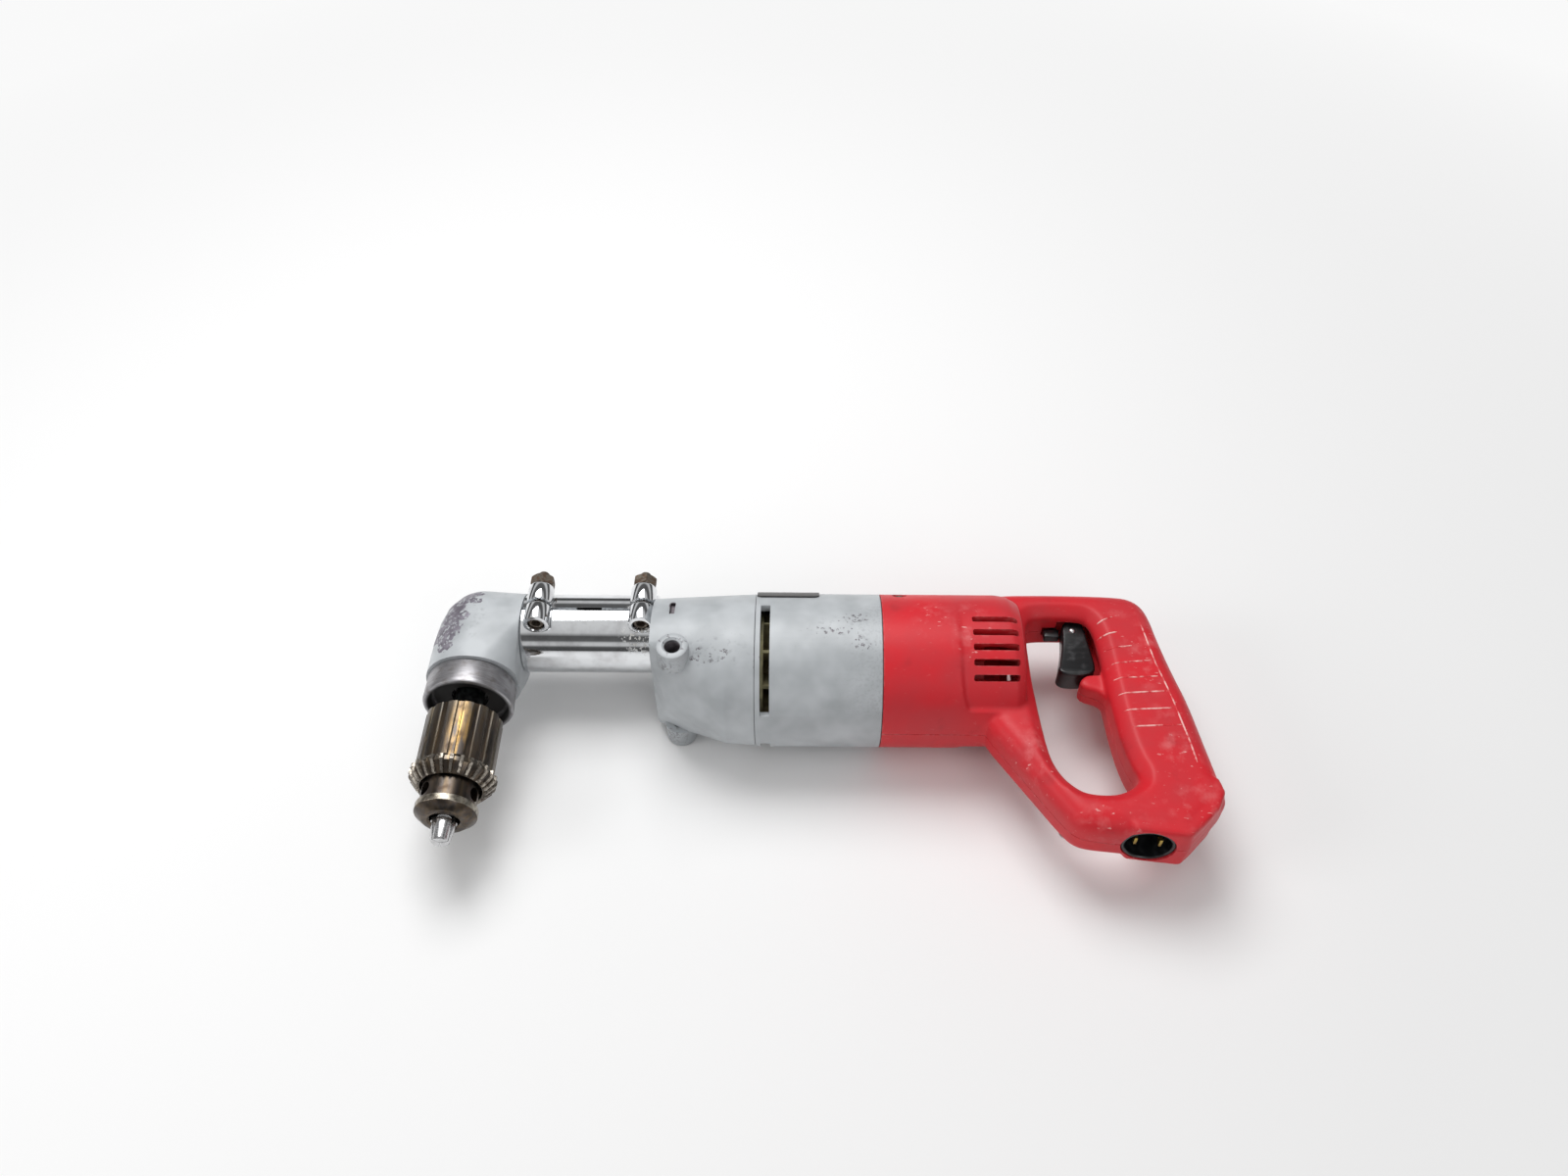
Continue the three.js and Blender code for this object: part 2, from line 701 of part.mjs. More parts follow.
// A rod along one jaw's slanted path, which crosses the chuck's line past the jaw's tip
function jawRod(index, radius, length) {
  const crossing = jawTip + jawCrossing;
  const start = -jawCrossing / Math.cos(jawAngle) + overrun;
  const path = rod(start - length - overrun, start, radius, mediumSides);
  const slanted = path.rotateY(jawAngle).translate(crossing, 0, 0);
  return solid(slanted.rotateX(-jawTurn - 2 * index * Math.PI / jawCount));
}

function jaw(index) {
  const turn = -jawTurn - 2 * index * Math.PI / jawCount;
  const back = jawTip - jawLength;
  const reach = 2 * chuckSleeveRadius;
  const side = reach * Math.tan(Math.PI / jawCount);
  const inset = jointGap / 2 / Math.sin(Math.PI / jawCount);
  const sector = plateOf([[0, inset], [side, inset + reach], [-side, inset + reach]], back, jawTip);
  const wedge = solid(sector.rotateY(Math.PI / 2).rotateX(Math.PI / 2 + turn));
  const tipLimit = solid(turned([
    [back - overrun, 0], [back - overrun, reach], [chuckNoseEnd - jawReach, reach],
    [chuckNoseEnd, jawTipRadius], [jawTip - capChamfer, jawTipRadius],
    [jawTip, jawTipRadius - capChamfer], [jawTip, 0],
  ], mediumSides));
  const body = jawRod(index, jawRadius, jawLength + jawReach).intersect(wedge).intersect(tipLimit);
  return piece(`chuck_jaw_${index + 1}`, body, bareSteel());
}

function chuckNut() {
  const from = chuckStart + chuckNutPlace + jointGap;
  const to = from + chuckNutLength;
  const slant = Math.tan(jawAngle);
  const jawClear = jawRadius / Math.cos(jawAngle) + jointGap;
  const clear = (along) => (jawTip + jawCrossing - along) * slant + jawClear;
  const outer = chuckSleeveBore - jointGap;
  return piece('chuck_nut', turned([
    [from, clear(from)], [from, outer], [to, outer], [to, clear(to)],
  ], chuckSides), darkSteel());
}

// The fluted sleeve with its ring of bevel teeth for the chuck key
function chuckSleeve() {
  const fluteEnd = chuckStart + chuckSleeveLength;
  const ringEnd = fluteEnd + chuckRingLength;
  const teethEnd = ringEnd + chuckTeethLength;
  const lowBore = chuckNoseRadius + jointGap;
  const blank = solid(turned([
    [chuckStart, chuckSleeveBore], [chuckStart, chuckSleeveRadius - capChamfer],
    [chuckStart + capChamfer, chuckSleeveRadius], [fluteEnd - capChamfer, chuckSleeveRadius],
    [fluteEnd + capChamfer, chuckRingRadius], [ringEnd, chuckRingRadius], [teethEnd, chuckTeethEndRadius],
    [teethEnd, lowBore], [fluteEnd, lowBore], [fluteEnd, chuckSleeveBore],
  ], chuckSides));
  let sleeve = blank;
  const fluteHalf = Math.PI * chuckSleeveRadius / chuckFluteCount * chuckFluteShare;
  const fluteRadius = (fluteHalf ** 2 + chuckFluteDepth ** 2) / (2 * chuckFluteDepth);
  for (let i = 0; i < chuckFluteCount; i += 1) {
    const flute = rod(chuckStart - overrun, fluteEnd - chuckRingLength, fluteRadius, smallSides)
      .translate(0, chuckSleeveRadius - chuckFluteDepth + fluteRadius, 0)
      .rotateX(2 * Math.PI * i / chuckFluteCount);
    sleeve = sleeve.subtract(solid(flute));
  }
  const slope = Math.atan2(chuckRingRadius - chuckTeethEndRadius, chuckTeethLength);
  const gapHalf = Math.PI * chuckRingRadius / chuckTeethCount / 2;
  const run = Math.hypot(chuckTeethLength, chuckRingRadius - chuckTeethEndRadius);
  for (let i = 0; i < chuckTeethCount; i += 1) {
    const groove = plateOf([[-gapHalf / 2, -chuckTeethDepth], [gapHalf / 2, -chuckTeethDepth],
      [gapHalf, chuckTeethDepth], [-gapHalf, chuckTeethDepth]], -overrun, run + overrun)
      .rotateY(Math.PI / 2).rotateZ(-slope).translate(ringEnd, chuckRingRadius, 0)
      .rotateX(2 * Math.PI * i / chuckTeethCount);
    sleeve = sleeve.subtract(solid(groove));
  }
  return piece('chuck_sleeve', sleeve, darkSteel());
}

// Moves a piece to its place and turns it about Z from lying along X
function placed(mesh, x, y, z, turn = 0) {
  mesh.position.set(x, y, z);
  mesh.rotation.z = turn;
  return mesh;
}

function bevelPinion() {
  const front = bevelFront(bevelPinionTeeth, bevelGearTeeth);
  const socketFloor = pinionSocketEnd - spindleNoseLength;
  const shaft = solid(turned([
    [front, 0], [front, pinionShaftRadius * coreShare], [bevelGearRadius, pinionShaftRadius],
    [pinionSocketStart, pinionShaftRadius], [pinionSocketStart, pinionSocketRadius],
    [pinionSocketEnd, pinionSocketRadius], [pinionSocketEnd, spindleNoseRadius + jointGap],
    [socketFloor, spindleNoseRadius + jointGap], [socketFloor, 0],
  ], mediumSides));
  const teeth = bevelTeeth(bevelPinionTeeth, bevelGearTeeth, 0);
  return piece('bevel_pinion', joined(teeth, shaft), bareSteel());
}

function pinionBearing() {
  return piece('pinion_bearing', ring(pinionBearingStart, pinionBearingStart + pinionBearingLength,
    pinionShaftRadius + jointGap, pinionBore - jointGap, mediumSides), bareSteel());
}

// Clamp sleeve pieces, about the sleeve's line
function acrossRod(x, z, from, to, radius, sides) {
  return solid(rod(from, to, radius, sides).rotateZ(Math.PI / 2).translate(x, 0, z));
}

function clampSleeve() {
  const half = lugLength / 2;
  const headEnd = -half + clampHeadInset + clampHeadLength + jointGap;
  let sleeve = solid(rod(sleeveStart, sleeveEnd, sleeveRadius, largeSides));
  for (const place of lugPlaces) {
    sleeve = sleeve.add(acrossRod(place, lugLift, -half, half, lugRadius, mediumSides));
  }
  for (const place of lugPlaces) {
    sleeve = cutBy(sleeve,
      acrossRod(place, lugLift, -half - overrun, half + overrun, clampScrewRadius + jointGap, smallSides),
      acrossRod(place, lugLift, -half - overrun, headEnd, clampHeadRadius + jointGap, smallSides));
  }
  const bore = solid(rod(sleeveStart - overrun, sleeveEnd + overrun, sleeveBore, largeSides));
  const slot = solid(block([sleeveStart - overrun, -sleeveSlotWidth / 2, 0],
    [sleeveEnd + overrun, sleeveSlotWidth / 2, lugLift + lugRadius + overrun]));
  return piece('clamp_sleeve', cutBy(sleeve, bore, slot), chrome());
}

function clampScrew(index) {
  const head = -lugLength / 2 + clampHeadInset;
  const headEnd = head + clampHeadLength;
  const end = lugLength / 2 + jointGap + clampNutLength + clampScrewEnd;
  const body = solid(turned([
    [head, 0], [head, clampHeadRadius], [headEnd, clampHeadRadius], [headEnd, clampScrewRadius],
    [end, clampScrewRadius], [end, 0],
  ], smallSides));
  const socket = solid(hexagon(head - overrun, head + clampSocketDepth, 2 * clampSocketRadius));
  return placed(piece(`clamp_screw_${index + 1}`, body.subtract(socket), darkSteel()),
    lugPlaces[index], 0, lugLift, Math.PI / 2);
}

function clampNut(index) {
  const from = lugLength / 2 + jointGap;
  const to = from + clampNutLength;
  const hole = solid(rod(from - overrun, to + overrun, clampScrewRadius + jointGap, smallSides));
  const nut = piece(`clamp_nut_${index + 1}`, solid(hexagon(from, to, clampNutAcross)).subtract(hole),
    rustySteel());
  return placed(nut, lugPlaces[index], 0, lugLift, Math.PI / 2);
}

// The gearcase's hull: a flat-sided arc with a bulge round the spindle at its front, and full rings behind
function gearcaseForm(inset, frontInset, reach) {
  const half = Math.PI / 2 + Math.asin(gearcaseFlatShare);
  const radiusAt = (share) => gearcaseStartRadius + (gearcaseEndRadius - gearcaseStartRadius) * share - inset;
  const front = gearcaseStart + frontInset;
  const corner = gearcaseStart + gearcaseLength * gearcaseCornerShare;
  const foot = gearcaseStart + gearcaseLength * gearcaseFootShare + frontInset;
  const full = gearcaseStart + gearcaseLength * gearcaseFullShare;
  return solid(new ConvexGeometry([
    ...circleAboutX(front, 0, radiusAt(0), mediumSides, -half, half),
    ...circleAboutX(front, spindleLift, gearcaseNoseRadius - inset, mediumSides),
    ...circleAboutX(corner, 0, radiusAt(gearcaseCornerShare), mediumSides, -half, half),
    ...circleAboutX(corner, spindleLift, gearcaseNoseRadius + gearcaseNoseGrowth - inset, mediumSides),
    ...circleAboutX(foot, 0, gearcaseFootRadius - inset, mediumSides),
    ...circleAboutX(full, 0, radiusAt(gearcaseFullShare), largeSides),
    ...circleAboutX(gearcaseEnd + reach, 0, gearcaseEndRadius - inset, largeSides),
  ]));
}

function slab(from, to) {
  const reach = 2 * gearcaseEndRadius;
  return solid(block([from, -reach, -reach], [to, reach, reach]));
}

function bossRods(radius, inner, outer) {
  const x = gearcaseStart + bossAlong;
  return joined(...[1, -1].map((side) => (
    solid(crossRod(x, -bossDrop, side > 0 ? inner : -outer, side > 0 ? outer : -inner, radius, mediumSides))
  )));
}

function gearcase() {
  const wallEnd = gearcaseStart + gearcaseFrontWall;
  const spigot = solid(rod(spigotStart, wallEnd, spigotRadius, largeSides).translate(0, spindleLift, 0));
  const bore = solid(rod(spigotStart - overrun, wallEnd + overrun, spigotBore, mediumSides)
    .translate(0, spindleLift, 0));
  const hollow = gearcaseForm(gearcaseWall, gearcaseFrontWall, overrun);
  const notchMiddle = gearcaseStart + notchAlong;
  const notch = solid(block(
    [notchMiddle - notchWidth / 2, notchRise - notchLength / 2, gearcaseNotchFloor],
    [notchMiddle + notchWidth / 2, notchRise + notchLength / 2, bossReach]));
  const bosses = bossRods(bossRadius, bossFloor, bossReach);
  const shell = joined(cutBy(gearcaseForm(0, 0, 0), hollow), spigot, bosses);
  const holes = bossRods(bossBore, bossReach - bossDepth, bossReach + overrun);
  return piece('gearcase', cutBy(shell, bore, holes, notch), greyPaint());
}

// A plate that fills the gearcase's hollow between two places
function innerPlate(from, to) {
  return gearcaseForm(gearcaseWall + jointGap, gearcaseFrontWall, overrun).intersect(slab(from, to));
}

// The plate that carries the spindle's rear end and the intermediate shaft's front end
function gearPlate() {
  const end = middlePlateStart + middlePlateLength;
  const holeRod = (radius) => solid(rod(middlePlateStart - overrun, end + overrun, radius, mediumSides));
  const spindleHole = holeRod(spindleBushRadius + jointGap).translate([0, spindleLift, 0]);
  const sideHole = holeRod(frontBushRadius + jointGap).translate([0, intermediateLift, -intermediateSide]);
  return piece('gear_plate', cutBy(innerPlate(middlePlateStart, end), spindleHole, sideHole), castMetal());
}

function bearingPlate() {
  const start = bearingPlateStart;
  const end = start + bearingPlateLength;
  const seatRadius = frontBearingRadius + jointGap;
  const seat = solid(rod(frontBearingStart - jointGap, end + overrun, seatRadius, mediumSides));
  const hole = solid(rod(start - overrun, end, shaftRadius + overrun, mediumSides));
  const sideHole = solid(rod(start - overrun, end + overrun, rearBushRadius + jointGap, mediumSides))
    .translate([0, intermediateLift, -intermediateSide]);
  return piece('bearing_plate', cutBy(innerPlate(start, end), seat, hole, sideHole), castMetal());
}

function spindlePieces() {
  const shoulder = spindleBearingStart + spindleBearingLength + jointGap;
  const shoulderEnd = shoulder + jointGap + gearcaseFrontWall;
  const gearEnd = spindleGearStart + spindleGearWidth + jointGap;
  const noseStart = pinionSocketEnd - spindleNoseLength + jointGap;
  const plateEnd = middlePlateStart + middlePlateLength;
  const gearBore = solid(rod(shoulder, gearEnd, spindleRadius + jointGap, mediumSides));
  return [
    piece('drill_spindle', turned([
      [noseStart, 0], [noseStart, spindleNoseRadius], [shoulder, spindleNoseRadius],
      [shoulder, spindleShoulderRadius], [shoulderEnd, spindleShoulderRadius], [shoulderEnd, spindleRadius],
      [gearEnd, spindleRadius], [gearEnd, spindleRearRadius], [plateEnd, spindleRearRadius], [plateEnd, 0],
    ], mediumSides), darkSteel()),
    piece('spindle_gear', spurGear(spindleGearTeeth, secondModule, spindleGearStart, gearEnd - jointGap,
      spindleGearPhase).subtract(gearBore), bareSteel()),
  ];
}

function spindleBearings() {
  return [
    piece('spindle_front_bearing', ring(spindleBearingStart, spindleBearingStart + spindleBearingLength,
      spindleNoseRadius + jointGap, spigotBore - jointGap, mediumSides), bareSteel()),
    piece('spindle_rear_bush', ring(middlePlateStart, middlePlateStart + bushLength,
      spindleRearRadius + jointGap, spindleBushRadius, mediumSides), brass()),
  ];
}

// Intermediate shaft pieces, about their own line
function intermediatePieces() {
  const pinionStart = spindleGearStart - jointGap;
  const pinionEnd = spindleGearStart + spindleGearWidth + jointGap;
  const pinionRoot = secondModule * (secondPinionTeeth / 2 - toothDedendumShare);
  const pinion = spurGear(secondPinionTeeth, secondModule, pinionStart, pinionEnd, secondPinionPhase);
  const gearEnd = firstGearStart + firstGearWidth;
  const shaftEnd = bearingPlateStart + bushLength;
  const shaft = solid(turned([
    [pinionStart, 0], [pinionStart, pinionRoot * coreShare], [pinionEnd, pinionRoot * coreShare],
    [pinionEnd, intermediateRadius], [gearEnd + jointGap, intermediateRadius],
    [gearEnd + jointGap, intermediateJournal], [shaftEnd, intermediateJournal], [shaftEnd, 0],
  ], smallSides));
  const gear = spurGear(firstGearTeeth, firstModule, firstGearStart, gearEnd, firstGearPhase);
  const bore = solid(rod(pinionEnd, gearEnd + overrun, intermediateRadius + jointGap, smallSides));
  return [
    piece('intermediate_shaft', joined(pinion, shaft), darkSteel()),
    piece('intermediate_gear', gear.subtract(bore), bareSteel()),
  ];
}

function intermediateBushes() {
  return [
    piece('intermediate_front_bush', ring(middlePlateStart, middlePlateStart + bushLength,
      intermediateRadius + jointGap, frontBushRadius, mediumSides), brass()),
    piece('intermediate_rear_bush', ring(bearingPlateStart, bearingPlateStart + bushLength,
      intermediateJournal + jointGap, rearBushRadius, mediumSides), brass()),
  ];
}

// The outline of a curved block between two angles, for extruding along X
function arcOutline(inner, outer, from, to) {
  const steps = Math.max(2, Math.round((to - from) / largeStep));
  const points = [];
  for (let i = 0; i <= steps; i += 1) {
    const angle = from + (to - from) * i / steps;
    points.push([outer * Math.cos(angle), outer * Math.sin(angle)]);
  }
  for (let i = steps; i >= 0; i -= 1) {
    const angle = from + (to - from) * i / steps;
    points.push([inner * Math.cos(angle), inner * Math.sin(angle)]);
  }
  return points;
}

// Extrudes an outline on the YZ plane along X
function alongX(points, from, to) {
  return solid(plateOf(points, from, to).rotateZ(Math.PI / 2).rotateY(Math.PI / 2));
}

function arcBlock(from, to, inner, outer, middle, halfAngle) {
  return alongX(arcOutline(inner, outer, middle - halfAngle, middle + halfAngle), from, to);
}

// The grey motor housing, with an exhaust slot on each side
function motorHousing() {
  const inner = motorHousingRadius - motorHousingWall;
  const tube = solid(ring(motorHousingStart, motorHousingEnd, inner, motorHousingRadius, largeSides));
  const slotStart = motorHousingStart + exhaustPlace;
  const span = (exhaustFromAngle + exhaustToAngle) / 2;
  const halfSpan = (exhaustToAngle - exhaustFromAngle) / 2;
  const slots = [1, -1].map((side) => arcBlock(slotStart, slotStart + exhaustWidth, inner - overrun,
    motorHousingRadius + overrun, side * (Math.PI / 2 + span), halfSpan));
  return piece('motor_housing', cutBy(tube, ...slots), greyPaint());
}

function dataPlate() {
  const inner = motorHousingRadius + plateInset;
  const start = motorHousingStart + plateInset;
  const plate = arcBlock(start, start + plateLength, inner, inner + plateThickness, 0, plateHalfAngle);
  return piece('data_plate', plate, blackPlastic());
}

function housingScrew(index) {
  const angle = seamScrewAngle * (index === 0 ? 1 : -1);
  const body = solid(turned([
    [0, 0], [0, seamScrewRadius], [seamScrewRadius, seamScrewRadius], [seamScrewRadius, seamScrewShank],
    [seamScrewLength, seamScrewShank], [seamScrewLength, 0],
  ], smallSides));
  const mesh = piece(`seam_screw_${index + 1}`, body, rustySteel());
  const start = barrelRadius - seamScrewSink;
  mesh.position.set(handleStart + seamScrewPlace, start * Math.cos(angle), start * Math.sin(angle));
  mesh.rotation.set(angle, 0, -Math.PI / 2, 'XYZ');
  return mesh;
}

function fieldCore() {
  const end = fieldStart + fieldLength;
  const outer = motorHousingRadius - motorHousingWall - jointGap;
  const yokeInner = outer - fieldYoke;
  const parts = [solid(ring(fieldStart, end, yokeInner, outer, largeSides))];
  for (const middle of [Math.PI / 2, -Math.PI / 2]) {
    parts.push(arcBlock(fieldStart, end, fieldBore, fieldBore + fieldShoe, middle, fieldPoleAngle));
    parts.push(arcBlock(fieldStart, end, fieldBore + fieldShoe / 2, yokeInner + fieldYoke / 2,
      middle, fieldNeckAngle));
  }
  return piece('field_core', joined(...parts), bareSteel());
}

function fieldCoil(index) {
  const middle = index === 0 ? Math.PI / 2 : -Math.PI / 2;
  const end = fieldStart + fieldLength;
  const inner = fieldBore + fieldShoe + fieldCoilInset;
  const outer = motorHousingRadius - motorHousingWall - jointGap - fieldYoke - fieldCoilInset;
  const whole = arcBlock(fieldStart - fieldCoilEnd, end + fieldCoilEnd, inner, outer, middle, fieldCoilAngle);
  const window = arcBlock(fieldStart - jointGap, end + jointGap, inner - overrun, outer + overrun, middle,
    fieldNeckAngle + fieldCoilInset / inner);
  return piece(`field_coil_${index + 1}`, whole.subtract(window), copper());
}

function armatureShaft() {
  const gearStart = firstGearStart - jointGap;
  const gearEnd = firstGearStart + firstGearWidth + jointGap;
  const root = firstModule * (armaturePinionTeeth / 2 - toothDedendumShare);
  const pinion = spurGear(armaturePinionTeeth, firstModule, gearStart, gearEnd, armaturePinionPhase);
  const end = rearBearingStart + motorBearingLength;
  const shaft = solid(turned([
    [gearStart, 0], [gearStart, root * coreShare], [gearEnd, root * coreShare],
    [bearingPlateStart, shaftRadius], [end, shaftRadius], [end, 0],
  ], smallSides));
  return piece('armature_shaft', joined(pinion, shaft), bareSteel());
}

function armatureCore() {
  const from = fieldStart - windingLength + jointGap;
  const to = fieldStart + fieldLength;
  const bore = shaftRadius + jointGap;
  return piece('armature_core', turned([
    [from, bore], [from, windingRadius], [fieldStart, windingRadius], [fieldStart, coreRadius],
    [to, coreRadius], [to, windingRadius], [to + windingLength, windingRadius], [to + windingLength, bore],
  ], mediumSides), copper());
}

function commutator() {
  const bore = shaftRadius + jointGap;
  const riserEnd = commutatorStart + commutatorLength * riserShare;
  return piece('commutator', turned([
    [commutatorStart, bore], [commutatorStart, commutatorRiser], [riserEnd, commutatorRiser],
    [riserEnd, commutatorRadius], [commutatorStart + commutatorLength, commutatorRadius],
    [commutatorStart + commutatorLength, bore],
  ], mediumSides), copper());
}

function coolingFan() {
  const start = motorHousingStart + fanPlace;
  const bore = solid(rod(start - overrun, start + fanWidth + overrun, shaftRadius + jointGap, smallSides));
  let fan = joined(solid(rod(start, start + fanPlate, fanRadius, mediumSides)),
    solid(rod(start, start + fanWidth, fanHubRadius, mediumSides)));
  for (let i = 0; i < fanBlades; i += 1) {
    const blade = block([start + fanPlate / 2, fanHubRadius / 2, -fanBladeThickness / 2],
      [start + fanWidth, fanRadius - fanBladeThickness, fanBladeThickness / 2]);
    fan = fan.add(solid(blade.rotateX(2 * Math.PI * i / fanBlades)));
  }
  return piece('cooling_fan', fan.subtract(bore), blackPlastic());
}

function motorBearings() {
  return [
    piece('armature_front_bearing', ring(frontBearingStart, frontBearingStart + motorBearingLength,
      shaftRadius + jointGap, frontBearingRadius, mediumSides), bareSteel()),
    piece('armature_rear_bearing', ring(rearBearingStart, rearBearingStart + motorBearingLength,
      shaftRadius + jointGap, rearBearingRadius, mediumSides), bareSteel()),
  ];
}

// A helical wire about Z
function spring(from, to, radius, wire, turns) {
  const points = [];
  const steps = turns * springSteps;
  for (let i = 0; i <= steps; i += 1) {
    const angle = 2 * Math.PI * i / springSteps;
    const height = from + (to - from) * i / steps;
    points.push(new THREE.Vector3(radius * Math.cos(angle), radius * Math.sin(angle), height));
  }
  const section = new THREE.Shape();
  for (let i = 0; i < springSides; i += 1) {
    const angle = 2 * Math.PI * i / springSides;
    section[i === 0 ? 'moveTo' : 'lineTo'](wire * Math.cos(angle), wire * Math.sin(angle));
  }
  const path = new THREE.CatmullRomCurve3(points);
  return new THREE.ExtrudeGeometry(section, { steps, extrudePath: path, bevelEnabled: false });
}

// Brush gear on one side of the commutator: the group's Z points outwards
function brushGear(index) {
  const half = brushWidth / 2;
  const length = brushThickness / 2;
  const face = commutatorRadius + jointGap;
  const holderStart = commutatorRadius + brushHolderLift;
  const holderEnd = holderStart + brushHolderLength;
  const wall = brushHolderWall;
  const [roomX, roomY] = [length + jointGap, half + jointGap];
  const brush = piece(`brush_${index + 1}`,
    block([-length, -half, face], [length, half, face + brushLength]), carbon());
  const outer = block([-roomX - wall, -roomY - wall, holderStart], [roomX + wall, roomY + wall, holderEnd]);
  const room = block([-roomX, -roomY, holderStart - overrun], [roomX, roomY, holderEnd - wall]);
  const holder = piece(`brush_holder_${index + 1}`, cutBy(solid(outer), solid(room)), brass());
  const springStart = face + brushLength + jointGap + brushSpringWire;
  const springEnd = holderEnd - wall - jointGap - brushSpringWire;
  const coil = piece(`brush_spring_${index + 1}`, spring(springStart, springEnd,
    half - brushSpringWire, brushSpringWire, brushSpringTurns), bareSteel());
  const group = new THREE.Group();
  group.add(brush, holder, coil);
  group.position.set(commutatorStart + commutatorLength * brushShare, 0, 0);
  group.rotation.x = index === 0 ? 0 : Math.PI;
  return group;
}

// Points given as shares of the grip's length, its rise above the motor line and its drop below it
function gripPoints(shares) {
  return shares.map(([along, across]) => [gripOrigin + gripLength * along,
    across * (across > 0 ? gripRise : gripDrop)]);
}

function barrelProfile(inset, rearInset) {
  return barrelShoulderShares.map(([along, across]) => [
    handleStart + (barrelLength - rearInset) * along, barrelRadius * across - inset]);
}

// An outline grown by each level's own distance at that level's height, closed by flat faces
function layered(points, levels) {
  const rings = levels.map(([z, grow]) => offset(points, grow));
  const places = rings.flatMap((ring, i) => ring.flatMap(([x, y]) => [x, y, levels[i][0]]));
  const count = points.length;
  const corners = [];
  for (let i = 0; i + 1 < rings.length; i += 1) {
    for (let j = 0; j < count; j += 1) {
      const next = (j + 1) % count;
      const [here, there] = [i * count, (i + 1) * count];
      corners.push(here + j, there + j, there + next, here + j, there + next, here + next);
    }
  }
  const flat = (ring) => ring.map(([x, y]) => new THREE.Vector2(x, y));
  const faces = (ring) => THREE.ShapeUtils.triangulateShape(flat(ring), []);
  const last = (rings.length - 1) * count;
  const turn = Math.sign(THREE.ShapeUtils.area(points.map(([x, y]) => ({ x, y }))));
  for (const [p, q, r] of faces(rings[0])) corners.push(...(turn > 0 ? [p, q, r] : [p, r, q]));
  for (const [p, q, r] of faces(rings[rings.length - 1])) {
    corners.push(...(turn > 0 ? [last + p, last + r, last + q] : [last + p, last + q, last + r]));
  }
  const geometry = new THREE.BufferGeometry();
  geometry.setAttribute('position', new THREE.BufferAttribute(Float32Array.from(places), 3));
  geometry.setIndex(corners);
  return solid(geometry);
}

// The levels of a plate with rounded edges, from its lower face up; the sign is -1 where an opening flares
function roundedLevels(half, edge, sign) {
  const levels = [];
  for (let i = 0; i <= edgeSteps; i += 1) {
    const angle = Math.PI / 2 * i / edgeSteps;
    levels.push([half - edge + edge * Math.sin(angle), -sign * edge * (1 - Math.cos(angle))]);
  }
  return [...levels.map(([z, grow]) => [-z, grow]).reverse(), ...levels];
}

// The grip's loop with rounded edges
function gripLoop() {
  const outer = layered(gripPoints(gripOutlineShares), roundedLevels(gripHalfThickness, gripEdge, 1));
  const flare = roundedLevels(gripHalfThickness + jointGap, gripEdge, -1);
  return outer.subtract(layered(gripPoints(openingShares), flare));
}

// The trigger's outline turned by an angle about its pivot and grown by a clearance
function triggerOutline(angle, clearance) {
  const outline = triggerShares.map(([along, across]) => [along * triggerDrop, across * triggerDrop]);
  const points = offset(outline, clearance);
  const [cos, sin] = [Math.cos(angle), Math.sin(angle)];
  return points.map(([x, y]) => [triggerPivotX + x * cos - y * sin, triggerPivotRise + x * sin + y * cos]);
}

function triggerRoom() {
  const half = triggerHalfWidth + triggerFlare + jointGap;
  const rooms = [];
  for (let i = 0; i <= triggerRoomSteps; i += 1) {
    const outline = triggerOutline(triggerTravel * i / triggerRoomSteps, 2 * jointGap);
    rooms.push(solid(plateOf(outline, -half, half)));
  }
  return joined(...rooms);
}

function trigger() {
  const flareHalf = triggerHalfWidth + triggerFlare;
  const body = solid(plateOf(triggerOutline(0, 0), -triggerHalfWidth, triggerHalfWidth));
  const flareZone = solid(block(
    [triggerPivotX - triggerDrop, triggerPivotRise - triggerDrop - overrun, -flareHalf],
    [triggerPivotX + triggerDrop, triggerPivotRise - triggerDrop * flareShare, flareHalf]));
  const wide = solid(plateOf(triggerOutline(0, 0), -flareHalf, flareHalf));
  const pinReach = flareHalf + jointGap + cheekThickness;
  const pin = crossRod(triggerPivotX, triggerPivotRise, -pinReach, pinReach, triggerPinRadius, smallSides);
  return piece('trigger', joined(body, wide.intersect(flareZone), solid(pin)), blackPlastic());
}

// Both handle halves before they are split on the middle plane
function handleForm() {
  const barrel = solid(turned([[handleStart, 0], [handleStart, barrelRadius],
    ...barrelProfile(0, 0), [handleEnd, 0]], largeSides));
  const opening = gripPoints(openingShares);
  const hook = solid(plateOf(gripPoints(hookShares), -hookHalfThickness, hookHalfThickness));
  const cheekInner = triggerHalfWidth + triggerFlare + jointGap;
  const cheekFoot = triggerPivotRise - cheekDrop;
  const roof = Math.max(...opening.map(([, y]) => y));
  const cheeks = solid(block([triggerPivotX - cheekLength / 2, cheekFoot, -cheekInner - cheekThickness],
    [triggerPivotX + cheekLength / 2, roof + gripWall, cheekInner + cheekThickness]));
  const throughOpening = solid(plateOf(opening, -barrelRadius, barrelRadius));
  return joined(cutBy(joined(barrel, gripLoop()), throughOpening), hook, cheeks);
}

